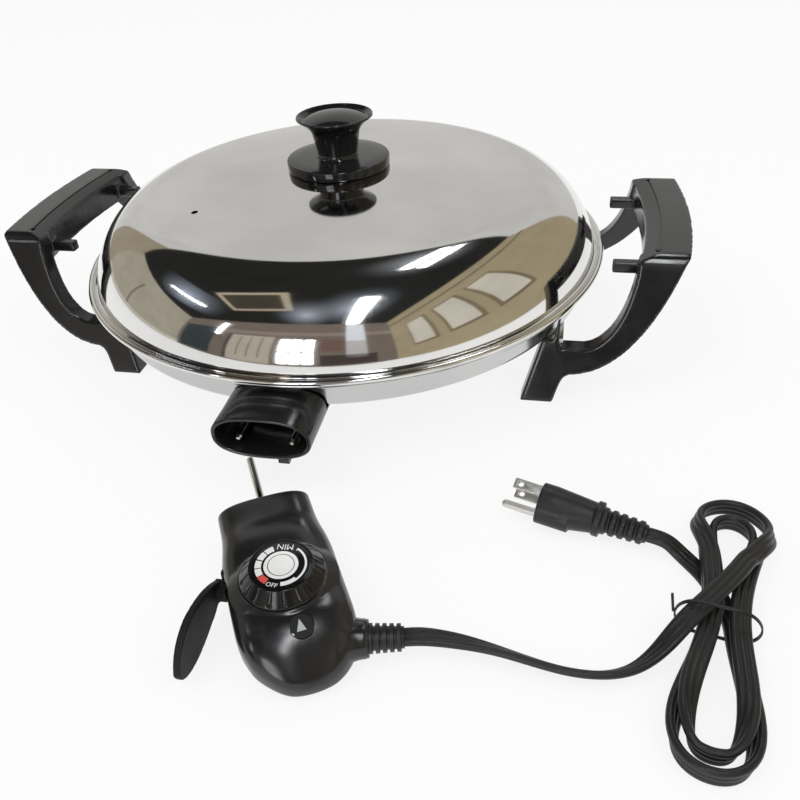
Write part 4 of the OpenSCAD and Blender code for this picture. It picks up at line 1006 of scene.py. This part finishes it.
def above(name, x0, x1, y0, y1, colour, strength=1.0, gap=0.0, turn=0.0, soft=False):
    """A panel on the ceiling, turned about its own middle."""
    mid = Vector(((x0 + x1) / 2, (y0 + y1) / 2, ROOM_TOP - gap))
    w, d = (x1 - x0) / 2, (y1 - y0) / 2
    half = [(-w, -d, 0), (w, -d, 0), (w, d, 0), (-w, d, 0)]
    panel(name, [tuple(mid + turned(h, turn)) for h in half], colour, strength, soft)


def make_room():
    top, left, right, white = ROOM_TOP, ROOM_LEFT, ROOM_RIGHT, (0.96, 0.98, 1.0)
    above("ceiling", left, right, ROOM_FRONT, ROOM_BACK, (0.022, 0.022, 0.021))
    across("back_wall", left, right, 0, top, (0.66, 0.65, 0.63), 1, ROOM_BACK)
    beside("left_wall", ROOM_FRONT, ROOM_BACK, 0, top, (0.42, 0.385, 0.31), left)
    beside("left_door", 0.2, 0.3, 0, 1.9, (0.2, 0.17, 0.13), left, 0.02)
    beside("left_board", ROOM_FRONT, ROOM_BACK, 0.0, 0.22, (0.6, 0.57, 0.5), left, 0.03)
    beside("right_wall", ROOM_FRONT, ROOM_BACK, 0, top, (0.4, 0.34, 0.22), right)
    beside("right_beam", ROOM_FRONT, ROOM_BACK, 2.1, 2.2, (0.2, 0.16, 0.11), right, -0.02)
    for i, y in enumerate((-1.9, -1.1, -0.3)):
        beside("right_frame_%d" % i, y, y + 0.62, 0.5, 1.75, (0.22, 0.17, 0.11), right, -0.02)
        beside("right_pane_%d" % i, y + 0.07, y + 0.55, 0.57, 1.68, (0.66, 0.62, 0.53), right, -0.04)
    across("front_wall", left, right, 0, top, (0.2, 0.165, 0.14))
    across("front_band", -2.4, right, 1.62, 1.86, (0.3, 0.25, 0.215), gap=0.01)
    across("front_corner", -4.2, -2.5, 0.1, 1.9, (0.05, 0.062, 0.066), gap=0.02)
    across("cupboard_side", -2.02, -1.9, 0.05, 1.5, (0.1, 0.085, 0.07), gap=0.02)
    across("cupboard", -1.9, -0.85, 0.05, 1.5, (0.52, 0.47, 0.39), gap=0.02)
    for i, x in enumerate((-1.62, -1.36, -1.1)):
        across("cupboard_line_%d" % i, x, x + 0.03, 0.3, 1.4, (0.16, 0.13, 0.1), gap=0.03)
    for i, x in enumerate((-0.7, -0.48, -0.24)):
        across("window_%d" % i, x, x + 0.18, 0.12, 1.38, white, 6, gap=0.02)
    across("window_sill", -0.74, -0.02, 0.66, 0.72, (0.36, 0.33, 0.3), gap=0.03)
    across("shelf", 0.06, 0.5, 0.75, 1.4, (0.2, 0.12, 0.1), gap=0.02)
    across("shelf_light", 0.52, 0.92, 0.4, 1.3, (0.56, 0.55, 0.55), gap=0.02)
    across("shelf_lamp", 0.52, 0.92, 1.3, 2.5, (0.86, 0.9, 0.95), gap=0.02)
    across("base", 0.06, 1.1, 0.05, 0.55, (0.07, 0.055, 0.05), gap=0.02)
    above("hatch_frame", -1.95, -0.65, -1.5, -0.42, (0.55, 0.46, 0.34), gap=0.02, turn=5)
    above("hatch", -1.83, -0.77, -1.38, -0.54, (0.07, 0.062, 0.045), gap=0.04, turn=5)
    above("left_glow", -3.9, -2.25, -2.1, 0.7, (0.5, 0.56, 0.68), 1.1, gap=0.03, turn=28, soft=True)
    above("left_tube", -3.12, -3.03, -1.45, 0.02, white, 10, gap=0.05, turn=28)
    above("window_glow", -1.1, 0.35, -2.9, -0.6, (0.55, 0.6, 0.7), 0.9, gap=0.03, soft=True)
    above("right_glow", -0.35, 1.1, 0.2, 2.5, (0.55, 0.57, 0.62), 0.9, gap=0.03, soft=True)
    above("right_tube", 0.3, 0.42, 0.75, 1.9, white, 10, gap=0.05)
    above("right_tube_far", 0.5, 0.62, 0.75, 1.9, white, 10, gap=0.05)
    across("left_slit", -2.5, -2.34, 1.4, 2.3, white, 12, gap=0.03)
    across("back_left", left, -2.85, 0, top, (0.37, 0.32, 0.245), 1, ROOM_BACK, -0.02)
    above("front_glow", -0.35, 1.15, -2.5, 0.0, (0.5, 0.55, 0.66), 1.0, gap=0.035, soft=True)
    above("front_tube", 0.435, 0.685, -2.42, -0.68, white, 14, gap=0.05, turn=6.4)


# Build
set_camera()
make_knob()
softened("plug_blades", "control", nickel, width=0.3, steps=2)
softened("cord_tie", "control", rubber, width=0.25, steps=1)
make_pan()
make_lid()
make_handle("handle_right", 1)
make_handle("handle_left", -1)
moulded("release_lever", "lever", lever_black, grain=0.6, rounds=10)
moulded("plug_body", "control", rubber, grain=0.45, rounds=6)
make_guard()
make_control()
make_dial()
print_rings()
# A grey triangle laid on the lamp window: a painted reflection on the lens.
lamp_window_mark("lamp_painted_reflection", [(-0.6, 3.8), (-3.0, -2.2), (1.8, -2.2)], 0.25, painted_reflection_grey)
lamp_window_mark("lamp_tick", [(-5.6, -2.6), (-4.9, -3.6), (-4.4, -3.2), (-5.1, -2.2)], 0.2, white_print)
word("dial_word_off", "OFF", size=3.5, radius=12.9, angle=237)
word("dial_word_min", "MIN", size=5.0, radius=11.9, angle=67)
make_cord()
make_floor()
make_world()
lamp("key", (-0.8, -0.9, 1.9), (1.2, 1.2), power=10)
lamp("fill", (1.4, -0.6, 1.6), (1.2, 1.2), power=6)
make_room()
